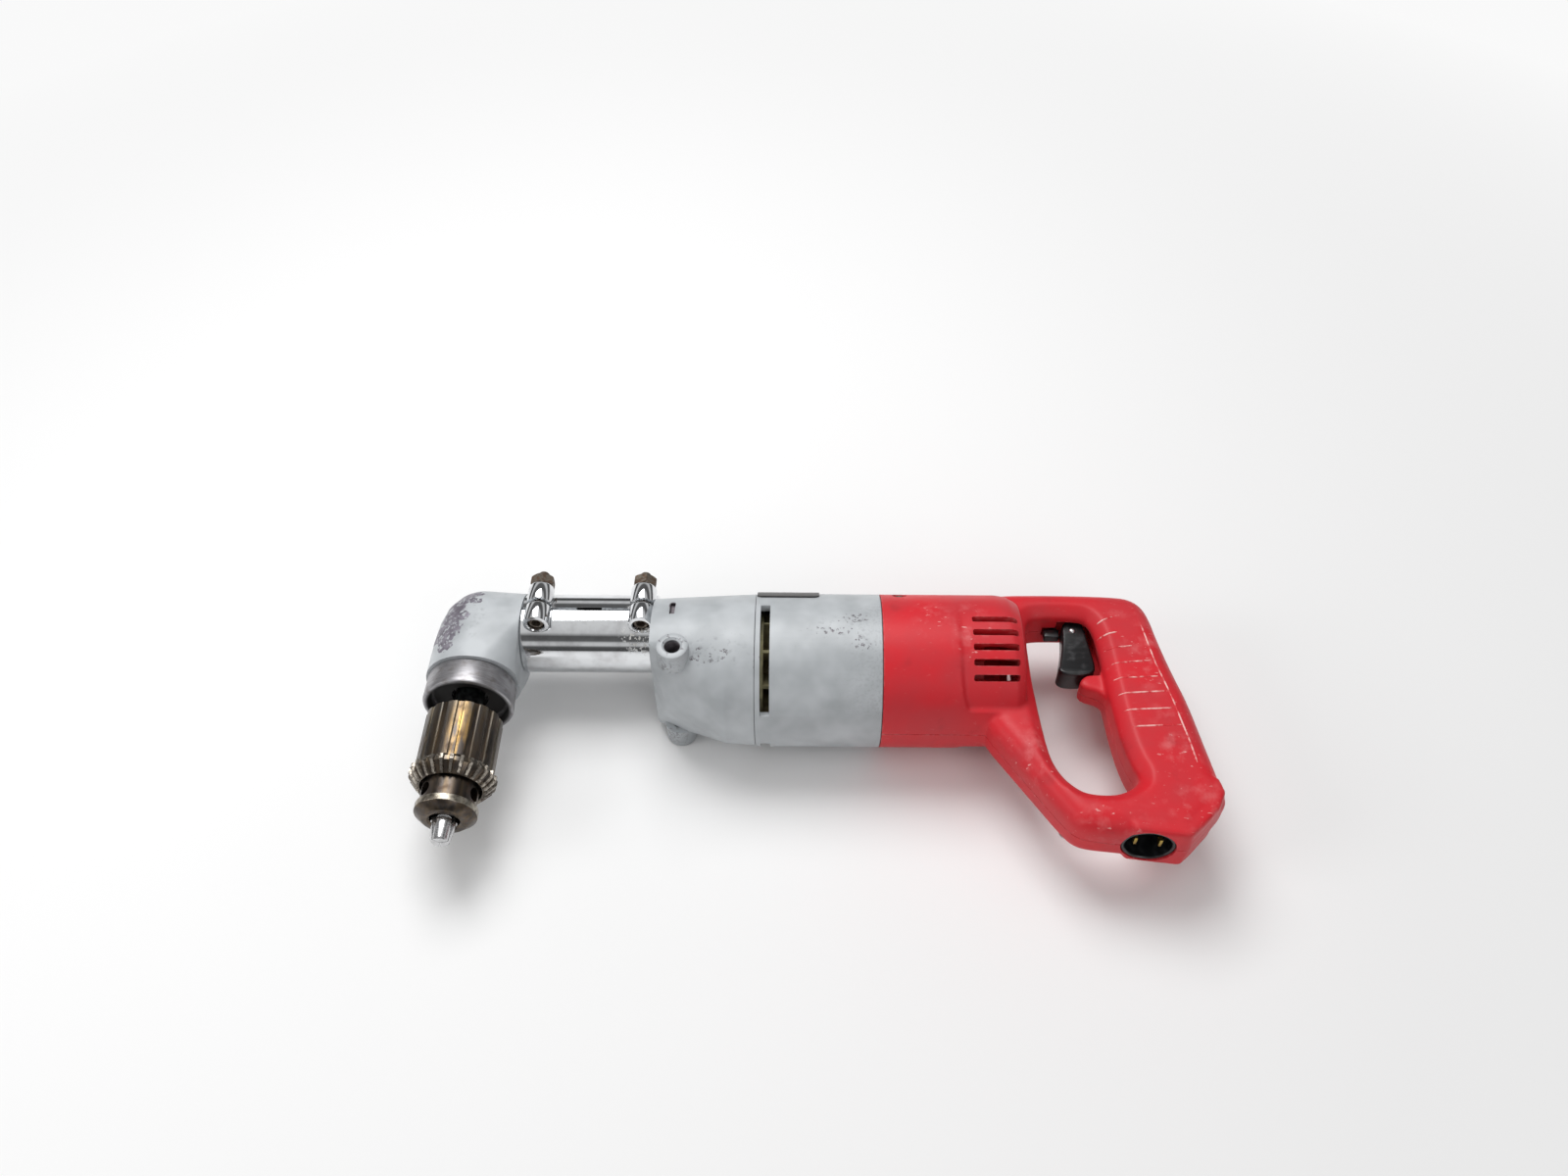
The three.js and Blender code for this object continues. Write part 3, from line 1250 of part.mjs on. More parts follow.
function handleHollow() {
  const webStart = handleStart + barrelWebPlace;
  const webEnd = webStart + barrelWebLength;
  const inner = barrelRadius - barrelWall;
  const rearInner = inner - ventPanelDepth;
  const front = solid(turned([
    [handleStart - overrun, 0], [handleStart - overrun, inner],
    [handleStart + ventPanelPlace - barrelWall, inner], [handleStart + ventPanelPlace, rearInner],
    [webStart, rearInner], [webStart, 0],
  ], largeSides));
  const rear = solid(turned([
    [webEnd, 0], [webEnd, rearInner], ...barrelProfile(barrelWall + ventPanelDepth, gripWall),
    [handleEnd - gripWall, 0],
  ], largeSides));
  const half = gripHalfThickness - gripWall;
  const grip = solid(plateOf(offset(gripPoints(gripOutlineShares), -gripWall), -half, half));
  const core = solid(plateOf(offset(gripPoints(openingShares), gripWall), -half - overrun, half + overrun));
  const webBlock = solid(rod(webStart, webEnd, barrelRadius, mediumSides));
  const airHole = (angle) => rod(webStart - overrun, webEnd + overrun, webHoleRadius, smallSides)
    .translate(0, webHoleReach, 0).rotateX(angle);
  const airHoles = webHoleAngles.map((angle) => solid(airHole(THREE.MathUtils.degToRad(angle))));
  const seatRadius = rearBearingRadius + jointGap;
  const bearingSeat = solid(rod(webStart - overrun, webEnd + overrun, seatRadius, mediumSides));
  const rearRoom = joined(rear.subtract(core), grip.subtract(core)).subtract(webBlock);
  return joined(front, rearRoom, bearingSeat, ...airHoles);
}

function ventCuts() {
  const outer = barrelRadius + overrun;
  const panelFloor = barrelRadius - ventPanelDepth;
  const floor = panelFloor - barrelWall - jointGap;
  const panelStart = handleStart + ventPanelPlace;
  const shell = (inner) => solid(ring(panelStart, handleEnd, inner, outer, largeSides));
  const above = (sign) => solid(block([panelStart, -ventPanelDrop, sign > 0 ? gripHalfThickness : -outer],
    [handleEnd - barrelWebLength, ventPanelRise, sign > 0 ? outer : -gripHalfThickness]));
  const panels = [1, -1].map((sign) => shell(panelFloor).intersect(above(sign)));
  const vents = [];
  for (let i = 0; i < ventCount; i += 1) {
    const y = ventRise - i * ventPitch;
    const through = solid(block([handleStart + ventEnd - ventLength, y - ventWidth / 2, -outer],
      [handleStart + ventEnd, y + ventWidth / 2, outer]));
    vents.push(through.intersect(shell(floor)));
  }
  return joined(...panels, ...vents);
}

function screwPlaces() {
  return gripPoints(handleScrewShares);
}

function handleHalf(name, sign) {
  const far = 2 * gripDrop;
  const face = jointGap / 2;
  const side = solid(block([handleStart - far, -far, sign > 0 ? face : -far],
    [handleStart + far, far, sign > 0 ? far : -face]));
  const half = gripHalfThickness - gripWall;
  const postReach = half + gripWall / 2;
  const post = ([x, y]) => solid(crossRod(x, y, -postReach, postReach, screwBossRadius, smallSides));
  const posts = screwPlaces().map(post);
  let shell = joined(cutBy(handleForm(), handleHollow()), ...posts);
  const headStart = -gripHalfThickness + handleScrewSink;
  const headEnd = headStart + handleScrewHeadLength + jointGap;
  const headRoom = handleScrewHead + jointGap;
  for (const [x, y] of screwPlaces()) {
    const shank = crossRod(x, y, -gripHalfThickness, headStart + handleScrewLength + jointGap,
      handleScrewRadius + jointGap, smallSides);
    const head = crossRod(x, y, -gripHalfThickness - overrun, headEnd, headRoom, smallSides);
    shell = cutBy(shell, solid(shank), solid(head));
  }
  const screwTop = barrelRadius - seamScrewSink;
  const pocketEnd = screwTop - seamScrewLength - jointGap;
  const pocketStep = screwTop - seamScrewRadius - jointGap;
  for (const turn of [1, -1]) {
    const pocket = turned([
      [pocketEnd, 0], [pocketEnd, seamScrewShank + jointGap], [pocketStep, seamScrewShank + jointGap],
      [pocketStep, seamScrewRadius + jointGap], [barrelRadius + overrun, seamScrewRadius + jointGap],
      [barrelRadius + overrun, 0],
    ], smallSides).rotateZ(Math.PI / 2).rotateX(turn * seamScrewAngle);
    shell = shell.subtract(solid(pocket.translate(handleStart + seamScrewPlace, 0, 0)));
  }
  const pinReach = triggerHalfWidth + triggerFlare + 2 * jointGap + cheekThickness;
  const pinRadius = triggerPinRadius + jointGap;
  const pin = crossRod(triggerPivotX, triggerPivotRise, -pinReach, pinReach, pinRadius, smallSides);
  const cuts = [ventCuts(), triggerRoom(), solid(pin), leverRoom(), inletRoom()];
  return piece(name, cutBy(shell, ...cuts).intersect(side), redPlastic());
}

function handleScrew(index) {
  const [x, y] = screwPlaces()[index];
  const start = -gripHalfThickness + handleScrewSink;
  const headEnd = start + handleScrewHeadLength;
  const end = start + handleScrewLength;
  const body = solid(turned([
    [start, 0], [start, handleScrewHead], [headEnd, handleScrewHead], [headEnd, handleScrewRadius],
    [end, handleScrewRadius], [end, 0],
  ], smallSides).rotateY(-Math.PI / 2));
  const mesh = piece(`handle_screw_${index + 1}`, body, bareSteel());
  mesh.position.set(x, y, 0);
  return mesh;
}

function switchBody() {
  return piece('switch_body', solid(plateOf(gripPoints(switchShares), -switchHalfWidth, switchHalfWidth)),
    brownPhenolic());
}

// Reverse lever, about its own stem: Y points up into the handle and the arm points to the motor
function leverParts(clearance, reach) {
  const half = leverHalfWidth + clearance;
  const low = -clearance - leverHeight;
  const stemRadius = leverStemRadius + clearance;
  const stem = rod(low, leverStemLength + clearance, stemRadius, smallSides).rotateZ(Math.PI / 2);
  const arm = () => block([-leverLength - clearance, low, -half],
    [leverHalfWidth + clearance, clearance, half]);
  const arms = reach.map((angle) => solid(arm().rotateY(angle)));
  return joined(solid(stem), ...arms);
}

function leverRoom() {
  return leverParts(jointGap, [-leverSweep, 0, leverSweep]).translate([leverX, leverY, 0]);
}

function reverseLever() {
  return placed(piece('reverse_lever', leverParts(0, [0]), blackPlastic()), leverX, leverY, 0);
}

// The recessed power inlet, about its own line: X points into the handle
function inletSocket() {
  return piece('inlet_socket', cutBy(
    solid(rod(0, inletDepth, inletRadius, mediumSides)),
    solid(rod(-overrun, inletDepth - inletFloor, inletRadius - inletWall, mediumSides)),
    ...[1, -1].map((side) => bladeSolid(side, jointGap))), blackPlastic());
}

function bladeSolid(side, clearance) {
  const middle = side * bladeSpacing / 2;
  const low = inletDepth - inletFloor - bladeLength;
  const [halfThickness, halfWidth] = [bladeThickness / 2 + clearance, bladeWidth / 2 + clearance];
  return solid(block([low, middle - halfThickness, -halfWidth],
    [inletDepth - inletWall + clearance, middle + halfThickness, halfWidth]));
}

function inletPlace(object) {
  object.position.set(gripOrigin + gripLength * inletShare, -gripDrop * inletDropShare, 0);
  object.rotation.z = Math.PI / 2 + inletLean;
  return object;
}

function inletGroup() {
  const group = inletPlace(new THREE.Group());
  group.add(inletSocket());
  for (const side of [1, -1]) {
    group.add(piece(`inlet_blade_${side > 0 ? 1 : 2}`, bladeSolid(side, 0), brass()));
  }
  return group;
}

function inletRoom() {
  const bore = rod(-2 * inletDepth, inletDepth + jointGap, inletRadius + jointGap, mediumSides);
  const room = inletPlace(new THREE.Mesh(bore));
  room.updateMatrix();
  return solid(room.geometry.applyMatrix4(room.matrix));
}

const motorLine = new THREE.Group();
motorLine.add(gearcase(), gearPlate(), bearingPlate(), motorHousing(), dataPlate());
motorLine.add(fieldCore(), fieldCoil(0), fieldCoil(1), brushGear(0), brushGear(1));
motorLine.add(armatureShaft(), armatureCore(), commutator(), coolingFan(), ...motorBearings());
motorLine.add(handleHalf('handle_upper_half', 1), handleHalf('handle_lower_half', -1));
motorLine.add(...handleScrewShares.map((_, i) => handleScrew(i)), housingScrew(0), housingScrew(1));
motorLine.add(switchBody(), trigger(), reverseLever(), inletGroup());

const intermediateLine = new THREE.Group();
intermediateLine.position.set(0, intermediateLift, -intermediateSide);
intermediateLine.add(...intermediatePieces(), ...intermediateBushes());

const sleeveLine = new THREE.Group();
sleeveLine.position.set(0, spindleLift, 0);
sleeveLine.add(clampSleeve(), clampScrew(0), clampScrew(1), clampNut(0), clampNut(1));
sleeveLine.add(...spindlePieces(), ...spindleBearings(), bevelPinion(), pinionBearing());

const outputLine = new THREE.Group();
outputLine.position.set(0, spindleLift, 0);
outputLine.rotation.z = -Math.PI / 2;
outputLine.add(headHousing(), headEndCap(), ...headBearings(), outputSpindle(), outputGear());
outputLine.add(chuckBody(), chuckSleeve(), chuckNut(), jaw(0), jaw(1), jaw(2));

// The drill lies level on its side, on the gearcase's low boss and the flat low side of housing and barrel
const rightAngleDrill = new THREE.Group();
rightAngleDrill.add(motorLine, intermediateLine, sleeveLine, outputLine);
rightAngleDrill.updateMatrixWorld(true);
const extent = new THREE.Box3().setFromObject(rightAngleDrill, true);
const middle = extent.getCenter(new THREE.Vector3());
const shift = new THREE.Vector3(-middle.x, -middle.y, -extent.min.z);
for (const line of rightAngleDrill.children) line.position.add(shift);

export default rightAngleDrill;
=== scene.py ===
"""A right angle drill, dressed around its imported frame."""

import json
import math

import bmesh
import bpy
from mathutils import Matrix, Vector
from mathutils.bvhtree import BVHTree


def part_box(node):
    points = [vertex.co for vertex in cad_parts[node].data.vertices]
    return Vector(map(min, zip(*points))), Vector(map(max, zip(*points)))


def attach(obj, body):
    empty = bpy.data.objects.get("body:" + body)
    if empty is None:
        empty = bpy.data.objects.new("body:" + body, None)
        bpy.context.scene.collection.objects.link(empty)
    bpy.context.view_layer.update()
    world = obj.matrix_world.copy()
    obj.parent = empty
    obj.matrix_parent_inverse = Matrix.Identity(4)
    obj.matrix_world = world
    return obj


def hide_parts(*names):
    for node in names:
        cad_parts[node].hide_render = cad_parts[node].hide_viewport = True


bl_info = {
    "name": "Right Angle Drill",
    "version": (1, 0, 0),
    "blender": (4, 5, 0),
    "location": "View3D > Sidebar > Drill",
    "description": "Builds a worn right angle drill piece by piece",
    "category": "Object",
}

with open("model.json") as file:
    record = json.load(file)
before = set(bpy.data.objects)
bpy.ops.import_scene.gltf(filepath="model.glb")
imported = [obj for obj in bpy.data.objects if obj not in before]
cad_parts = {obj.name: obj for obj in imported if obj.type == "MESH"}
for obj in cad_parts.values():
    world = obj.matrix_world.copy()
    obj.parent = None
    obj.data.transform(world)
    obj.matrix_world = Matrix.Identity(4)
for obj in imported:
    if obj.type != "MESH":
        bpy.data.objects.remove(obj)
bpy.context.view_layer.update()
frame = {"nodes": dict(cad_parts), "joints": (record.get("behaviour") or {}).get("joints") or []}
MM = 0.001
JOINTS = {joint["name"]: joint for joint in frame["joints"]}
ELBOW = Vector(JOINTS["head_swivel"]["pos_m"])
MOTOR = Vector(JOINTS["armature_spin"]["pos_m"])

# Work space: millimetres, X from the chuck's line, Y from the motor's line, Z from the middle plane
ORIGIN = Vector((ELBOW.x, MOTOR.y, ELBOW.z))
SPINDLE_LIFT = (ELBOW.y - MOTOR.y) / MM

# Sides of a turned form, the clearance between pieces, and how far a cutter runs past what it cuts
FINE = 96
GAP = 0.3
OVERRUN = 2.0

# Radius of the motor housing and the handle's barrel, radius of the chrome sleeve, half the grip's thickness
SHELL_RADIUS = 44.1
SLEEVE_RADIUS = 23.1
GRIP_HALF = 17.4


def extent(node):
    """A CAD node's lowest and highest corners in work space."""
    low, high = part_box(node)
    return (low - ORIGIN) / MM, (high - ORIGIN) / MM


def middle(node):
    """The middle of a CAD node's box in work space."""
    low, high = extent(node)
    return (low + high) / 2


def turned_span(node):
    """Where a piece on the chuck's line starts and ends below the elbow, and its radius."""
    low, high = extent(node)
    return SPINDLE_LIFT - high.y, SPINDLE_LIFT - low.y, high.z


# Colours and finishes


def linear(text):
    """An sRGB hex colour such as #C8232B, or the panel's colour of that name, as linear values."""
    if not text.startswith("#"):
        text = getattr(bpy.context.scene.drill_finish, text)
    values = [int(text[i : i + 2], 16) / 255 for i in (1, 3, 5)]
    return tuple(v / 12.92 if v <= 0.04045 else ((v + 0.055) / 1.055) ** 2.4 for v in values) + (1.0,)


def add(tree, kind, inputs=None, **settings):
    """Adds one node with its settings, and sets or links its inputs."""
    made = tree.nodes.new(kind)
    for name, value in settings.items():
        setattr(made, name, value)
    for name, value in (inputs or {}).items():
        if isinstance(value, bpy.types.NodeSocket):
            tree.links.new(value, made.inputs[name])
        else:
            made.inputs[name].default_value = value
    return made


def new_material(name):
    """An empty material with its shader, tree and object coordinates."""
    material = bpy.data.materials.new(name)
    material.use_nodes = True
    tree = material.node_tree
    return material, tree, tree.nodes["Principled BSDF"], add(tree, "ShaderNodeTexCoord").outputs["Object"]


def share(tree, known, recipe):
    """A part of a surface, from 0 to 1, as a number or a socket.

    A recipe is a number, or a tuple that starts with its kind. Grain is noise with cells of a real size in
    millimetres, stretched so that low gives 0 and high gives 1. Places are ellipsoids in work space, 1 inside
    and 0 outside. Edges are a fine mesh's convex edges. Span stretches another recipe. Any other kind is the
    operation of a Math node on two recipes.
    """
    if not isinstance(recipe, tuple):
        return recipe
    if recipe in known:
        return known[recipe]
    kind, *rest = recipe
    place = known["place"]
    if kind == "grain":
        size, low, high, detail, seed, *stretch = rest
        if stretch:
            place = add(tree, "ShaderNodeMapping", {"Vector": place, "Scale": stretch[0]}).outputs[0]
        noise = add(tree, "ShaderNodeTexNoise", {
            "Vector": place, "W": seed, "Scale": 1 / (size * MM), "Detail": detail}, noise_dimensions="4D")
        made = add(tree, "ShaderNodeMapRange", {
            "Value": noise.outputs["Fac"], "From Min": low, "From Max": high})
    elif kind == "places":
        soft, *ellipsoids = rest
        for centre, size in ellipsoids:
            scale = [1 / (s * MM) for s in size]
            offset = [-(o + c * MM) * s for o, c, s in zip(ORIGIN, centre, scale)]
            local = add(tree, "ShaderNodeMapping", {"Vector": place, "Scale": scale, "Location": offset})
            length = add(tree, "ShaderNodeVectorMath", {0: local.outputs[0]}, operation="LENGTH")
            inside = add(tree, "ShaderNodeMapRange", {
                "Value": length.outputs["Value"], "From Min": 1.0, "From Max": soft})
            before = 0.0 if (centre, size) == ellipsoids[0] else made.outputs[0]
            made = add(tree, "ShaderNodeMath", {0: before, 1: inside.outputs[0]}, operation="MAXIMUM")
    elif kind == "edges":
        sharp = add(tree, "ShaderNodeNewGeometry").outputs["Pointiness"]
        made = add(tree, "ShaderNodeMapRange", {"Value": sharp, "From Min": rest[0], "From Max": rest[1]})
    elif kind == "span":
        inner, low, high, to_low, to_high = rest
        made = add(tree, "ShaderNodeMapRange", {
            "Value": share(tree, known, inner), "From Min": low, "From Max": high, "To Min": to_low,
            "To Max": to_high})
    else:
        first, second = (share(tree, known, part) for part in rest)
        made = add(tree, "ShaderNodeMath", {0: first, 1: second}, operation=kind)
        made.use_clamp = kind != "SUBTRACT"
    known[recipe] = made.outputs[0]
    return known[recipe]


def shaded(name, base, rough, layers=(), metal=0.0, relief=None, specular=0.5):
    """A material: a base tone, tones laid over it by shares, then its roughness, metal and relief.

    A tone is a colour, or two colours and the share of the second. Rough and metal are numbers, or a share
    with its lowest and highest value. Relief is a share with its strength and its depth in millimetres.
    """
    material, tree, shader, place = new_material(name)
    known = {"place": place}
    shader.inputs["Specular IOR Level"].default_value = specular
    colour = None
    for amount, tone in ((None, base), *layers):
        if isinstance(tone, tuple):
            first, second, part = tone
            part = share(tree, known, part)
            tone = add(tree, "ShaderNodeMix", {0: part, 6: linear(first), 7: linear(second)},
                       data_type="RGBA").outputs[2]
        else:
            tone = linear(tone)
        if colour:
            tone = add(tree, "ShaderNodeMix", {0: share(tree, known, amount), 6: colour, 7: tone},
                       data_type="RGBA").outputs[2]
        colour = tone
    tree.links.new(colour, shader.inputs["Base Color"])
    for socket, value in (("Roughness", rough), ("Metallic", metal)):
        if isinstance(value, tuple):
            part, low, high = value
            tree.links.new(share(tree, known, ("span", part, 0.0, 1.0, low, high)), shader.inputs[socket])
        else:
            shader.inputs[socket].default_value = value
    if relief:
        part, strength, depth = relief
        bump = add(tree, "ShaderNodeBump", {
            "Height": share(tree, known, part), "Strength": strength, "Distance": depth * MM})
        tree.links.new(bump.outputs["Normal"], shader.inputs["Normal"])
    return material


def enamel(chip, spread, worn, rubbed, bare_and_shaded_places=(), metals=("#4A4449", "#6E676C"), speck=(0.2, 0.46)):
    """Sprayed grey enamel over cast aluminium: a faint orange peel, ragged chips to dark metal, rub marks."""
    wear = ("ADD", ("grain", chip, 0.0, 1.0, 8.0, 7.0), ("MULTIPLY", ("places", 0.45, *worn), 0.35))
    chips = ("span", wear, spread + 0.35, spread + 0.38, 0.0, 1.0)
    specks = ("grain", chip * speck[0], speck[1], speck[1] + 0.07, 6.0, 12.0)
    islands = ("span", specks, 0.0, 1.0, 0.1, 1.0)
    edge = ("MULTIPLY", ("edges", 0.55, 0.58), ("grain", 1.6, 0.5, 0.58, 3.0, 9.0))
    bare = ("MAXIMUM", ("MULTIPLY", chips, islands), ("MULTIPLY", edge, 0.6))
    # Listed places go to dark metal, for bare threads and for painted shade inside a recess
    if bare_and_shaded_places:
        bare = ("MAXIMUM", bare, ("places", 0.9, *bare_and_shaded_places))
    dust = ("MULTIPLY", ("grain", 1.4, 0.7, 0.76, 2.0, 4.0), 0.3)
    smudge = ("MULTIPLY", ("MULTIPLY", ("grain", 3.0, 0.56, 0.72, 5.0, 2.0), ("places", 0.2, *rubbed)), 0.6)
    peel = ("MULTIPLY", ("grain", 0.9, 0.3, 0.7, 2.0, 1.0), 0.1)
    metal = (*metals, ("grain", 4, 0.35, 0.65, 4.0, 3.0))
    return {
        "base": ("enamel", "enamel_shade", ("grain", 18, 0.35, 0.65, 2.0, 0.0)),
        "layers": ((dust, "#8E9194"), (smudge, "#74767A"), (bare, metal)),
        "rough": (bare, 0.42, 0.5),
        "metal": (bare, 0.0, 0.3),
        "relief": (("SUBTRACT", peel, bare), 0.5, 0.12),
    }


def clouded(first, second, cell, rough, haze, metal=0.0):
    """A working surface that stays inside: a cloudy tone with machining or moulding haze."""
    cloud = ("grain", cell, 0.35, 0.65, 4.0, 0.0)
    return {"base": (first, second, cloud), "rough": (cloud, rough, rough + haze), "metal": metal}


def red_nylon():
    """Moulded red nylon: a matte fine grain, with pale scratches and rubbed places where it was handled."""
    handled = ("places", 0.15, ((262, 4, 40), (14, 18, 12)), ((284, -2, 42), (14, 30, 12)),
               ((392, -60, 10), (18, 40, 24)), ((396, -96, 8), (30, 22, 24)), ((378, 38, 8), (22, 16, 22)),
               ((318, -66, 12), (26, 26, 20)), ((352, -104, 10), (26, 12, 20)), ((384, 0, 14), (16, 36, 12)),
               ((245, 34, 30), (20, 14, 18)))
    rubbed = ("MULTIPLY", ("grain", 7, 0.5, 0.75, 5.0, 5.0), handled)
    drawn = ("grain", 1.5, 0.64, 0.7, 6.0, 8.0, (0.4, 1.0, 0.6))
    nicks = ("MULTIPLY", drawn, ("span", handled, 0.0, 1.0, 0.06, 1.0))
    edge = ("MULTIPLY", ("edges", 0.52, 0.6), ("grain", 3, 0.42, 0.62, 4.0, 6.0))
    pale = ("MAXIMUM", ("MULTIPLY", nicks, 0.75), ("MULTIPLY", edge, 0.4))
    grime = ("MULTIPLY", ("grain", 12, 0.6, 0.8, 6.0, 11.0), 0.3)
    return {
        "base": ("nylon", "nylon_shade", ("grain", 26, 0.35, 0.65, 3.0, 0.0)),
        "layers": ((("MULTIPLY", rubbed, 0.5), "#E48F90"), (pale, "#F0C4C0"), (grime, "#6E2024")),
        "rough": (pale, 0.44, 0.62),
        "relief": (("MULTIPLY", ("grain", 0.6, 0.3, 0.7, 2.0, 2.0), 0.5), 0.25, 0.08),
        "specular": 0.3,
    }


def chrome_plate():
    """Chrome plate on a turned tube: a mirror with a trace of haze, paint specks and rusty pits."""
    haze = ("grain", 9, 0.45, 0.75, 4.0, 0.0)
    splashed = ("places", 0.3, ((97, 10, 17), (14, 12, 12)))
    specks = ("MULTIPLY", ("grain", 2.0, 0.55, 0.58, 2.0, 6.0), splashed)
    joints = ("places", 0.3, ((36.8, 27, 24), (10, 9, 7)), ((97.1, 27, 24), (10, 9, 7)))
    rust = ("MULTIPLY", ("grain", 1.8, 0.5, 0.58, 4.0, 2.0), joints)
    spoiled = ("MAXIMUM", specks, rust)
    return {
        "base": ("#E4E6E8", "#C6C6C8", haze),
        "layers": ((specks, "#CFCDC8"), (("MULTIPLY", rust, 0.8), "#6B5B45")),
        "rough": (("MAXIMUM", spoiled, ("MULTIPLY", haze, 0.12)), 0.05, 0.6),
        "metal": (spoiled, 1.0, 0.1),
        "relief": (spoiled, 0.3, 0.15),
    }


def chuck_steel():
    """Case-hardened chuck steel, dark, with brassy and brown wear along its line, a rubbed nose band, and a
    painted highlight along its convex edges.
    """
    drawn = (1.0, 0.12, 1.0)
    held = ("span", ("places", 0.2, ((4, -55, 20), (7, 26, 16))), 0.0, 1.0, 0.1, 1.0)
    brown = ("MULTIPLY", ("grain", 6, 0.52, 0.7, 5.0, 7.0), 0.6)
    nose_band = ("places", 0.8, ((0, extent("chuck_body")[0].y + 6.2, 0), (90, 2.2, 90)))
    rubbed = ("MULTIPLY", ("MULTIPLY", nose_band, ("grain", 2.4, 0.3, 0.6, 4.0, 9.0)), 0.6)
    brassy = ("MULTIPLY", ("grain", 2.6, 0.42, 0.6, 5.0, 4.0, drawn), held)
    # Pale on convex edges, such as the sleeve's land edges, is a painted highlight; pale on the nose band is
    # real rubbing
    bright = ("MAXIMUM", ("MULTIPLY", ("edges", 0.56, 0.64), 0.8), rubbed)
    return {
        "base": ("chuck", "chuck_worn", ("grain", 5.0, 0.36, 0.7, 3.0, 0.0, drawn)),
        "layers": ((brassy, "#B08C4C"), (brown, "#4E3B2C"), (bright, "#C9C2B2")),
        "rough": (brown, 0.3, 0.6),
        "metal": (brown, 1.0, 0.6),
        "relief": (("grain", 0.5, 0.3, 0.7, 2.0, 0.0), 0.2, 0.05),
    }


def cap_steel():
    """The bare end cap: dull turned steel, with faint rings, brown stains, and darkened nearly black inside
    its recess.
    """
    stain = ("MULTIPLY", ("grain", 5, 0.52, 0.7, 5.0, 5.0), 0.55)
    recess = ("places", 0.92, ((0, extent("head_end_cap")[0].y, 0), (24.6, 16, 24.6)))
    return {
        "base": ("#8E8C8F", "#ACABAE", ("grain", 1.4, 0.35, 0.65, 3.0, 0.0, (0.2, 4.0, 0.2))),
        "layers": ((stain, "#6A625C"), (recess, "#171413")),
        "rough": (("MAXIMUM", stain, recess), 0.36, 0.6),
        "metal": (recess, 0.9, 0.2),
    }


WORN_NYLON = ("grain", 5, 0.42, 0.56, 4.0, 3.0)
TOOTH_WEAR = ("grain", 1.8, 0.35, 0.6, 3.0, 0.0)
GRINDING = ("grain", 1.2, 0.3, 0.7, 3.0, 0.0, (0.3, 3.0, 0.3))
OIL_FILM = ("grain", 4, 0.4, 0.65, 4.0, 0.0)
RUST = ("grain", 2.6, 0.38, 0.58, 6.0, 0.0)
HANDLING = ("grain", 5, 0.5, 0.72, 5.0, 0.0)
SCRATCHES = ("grain", 3, 0.6, 0.7, 6.0, 0.0)
DUST = ("grain", 8, 0.3, 0.6, 5.0, 0.0)

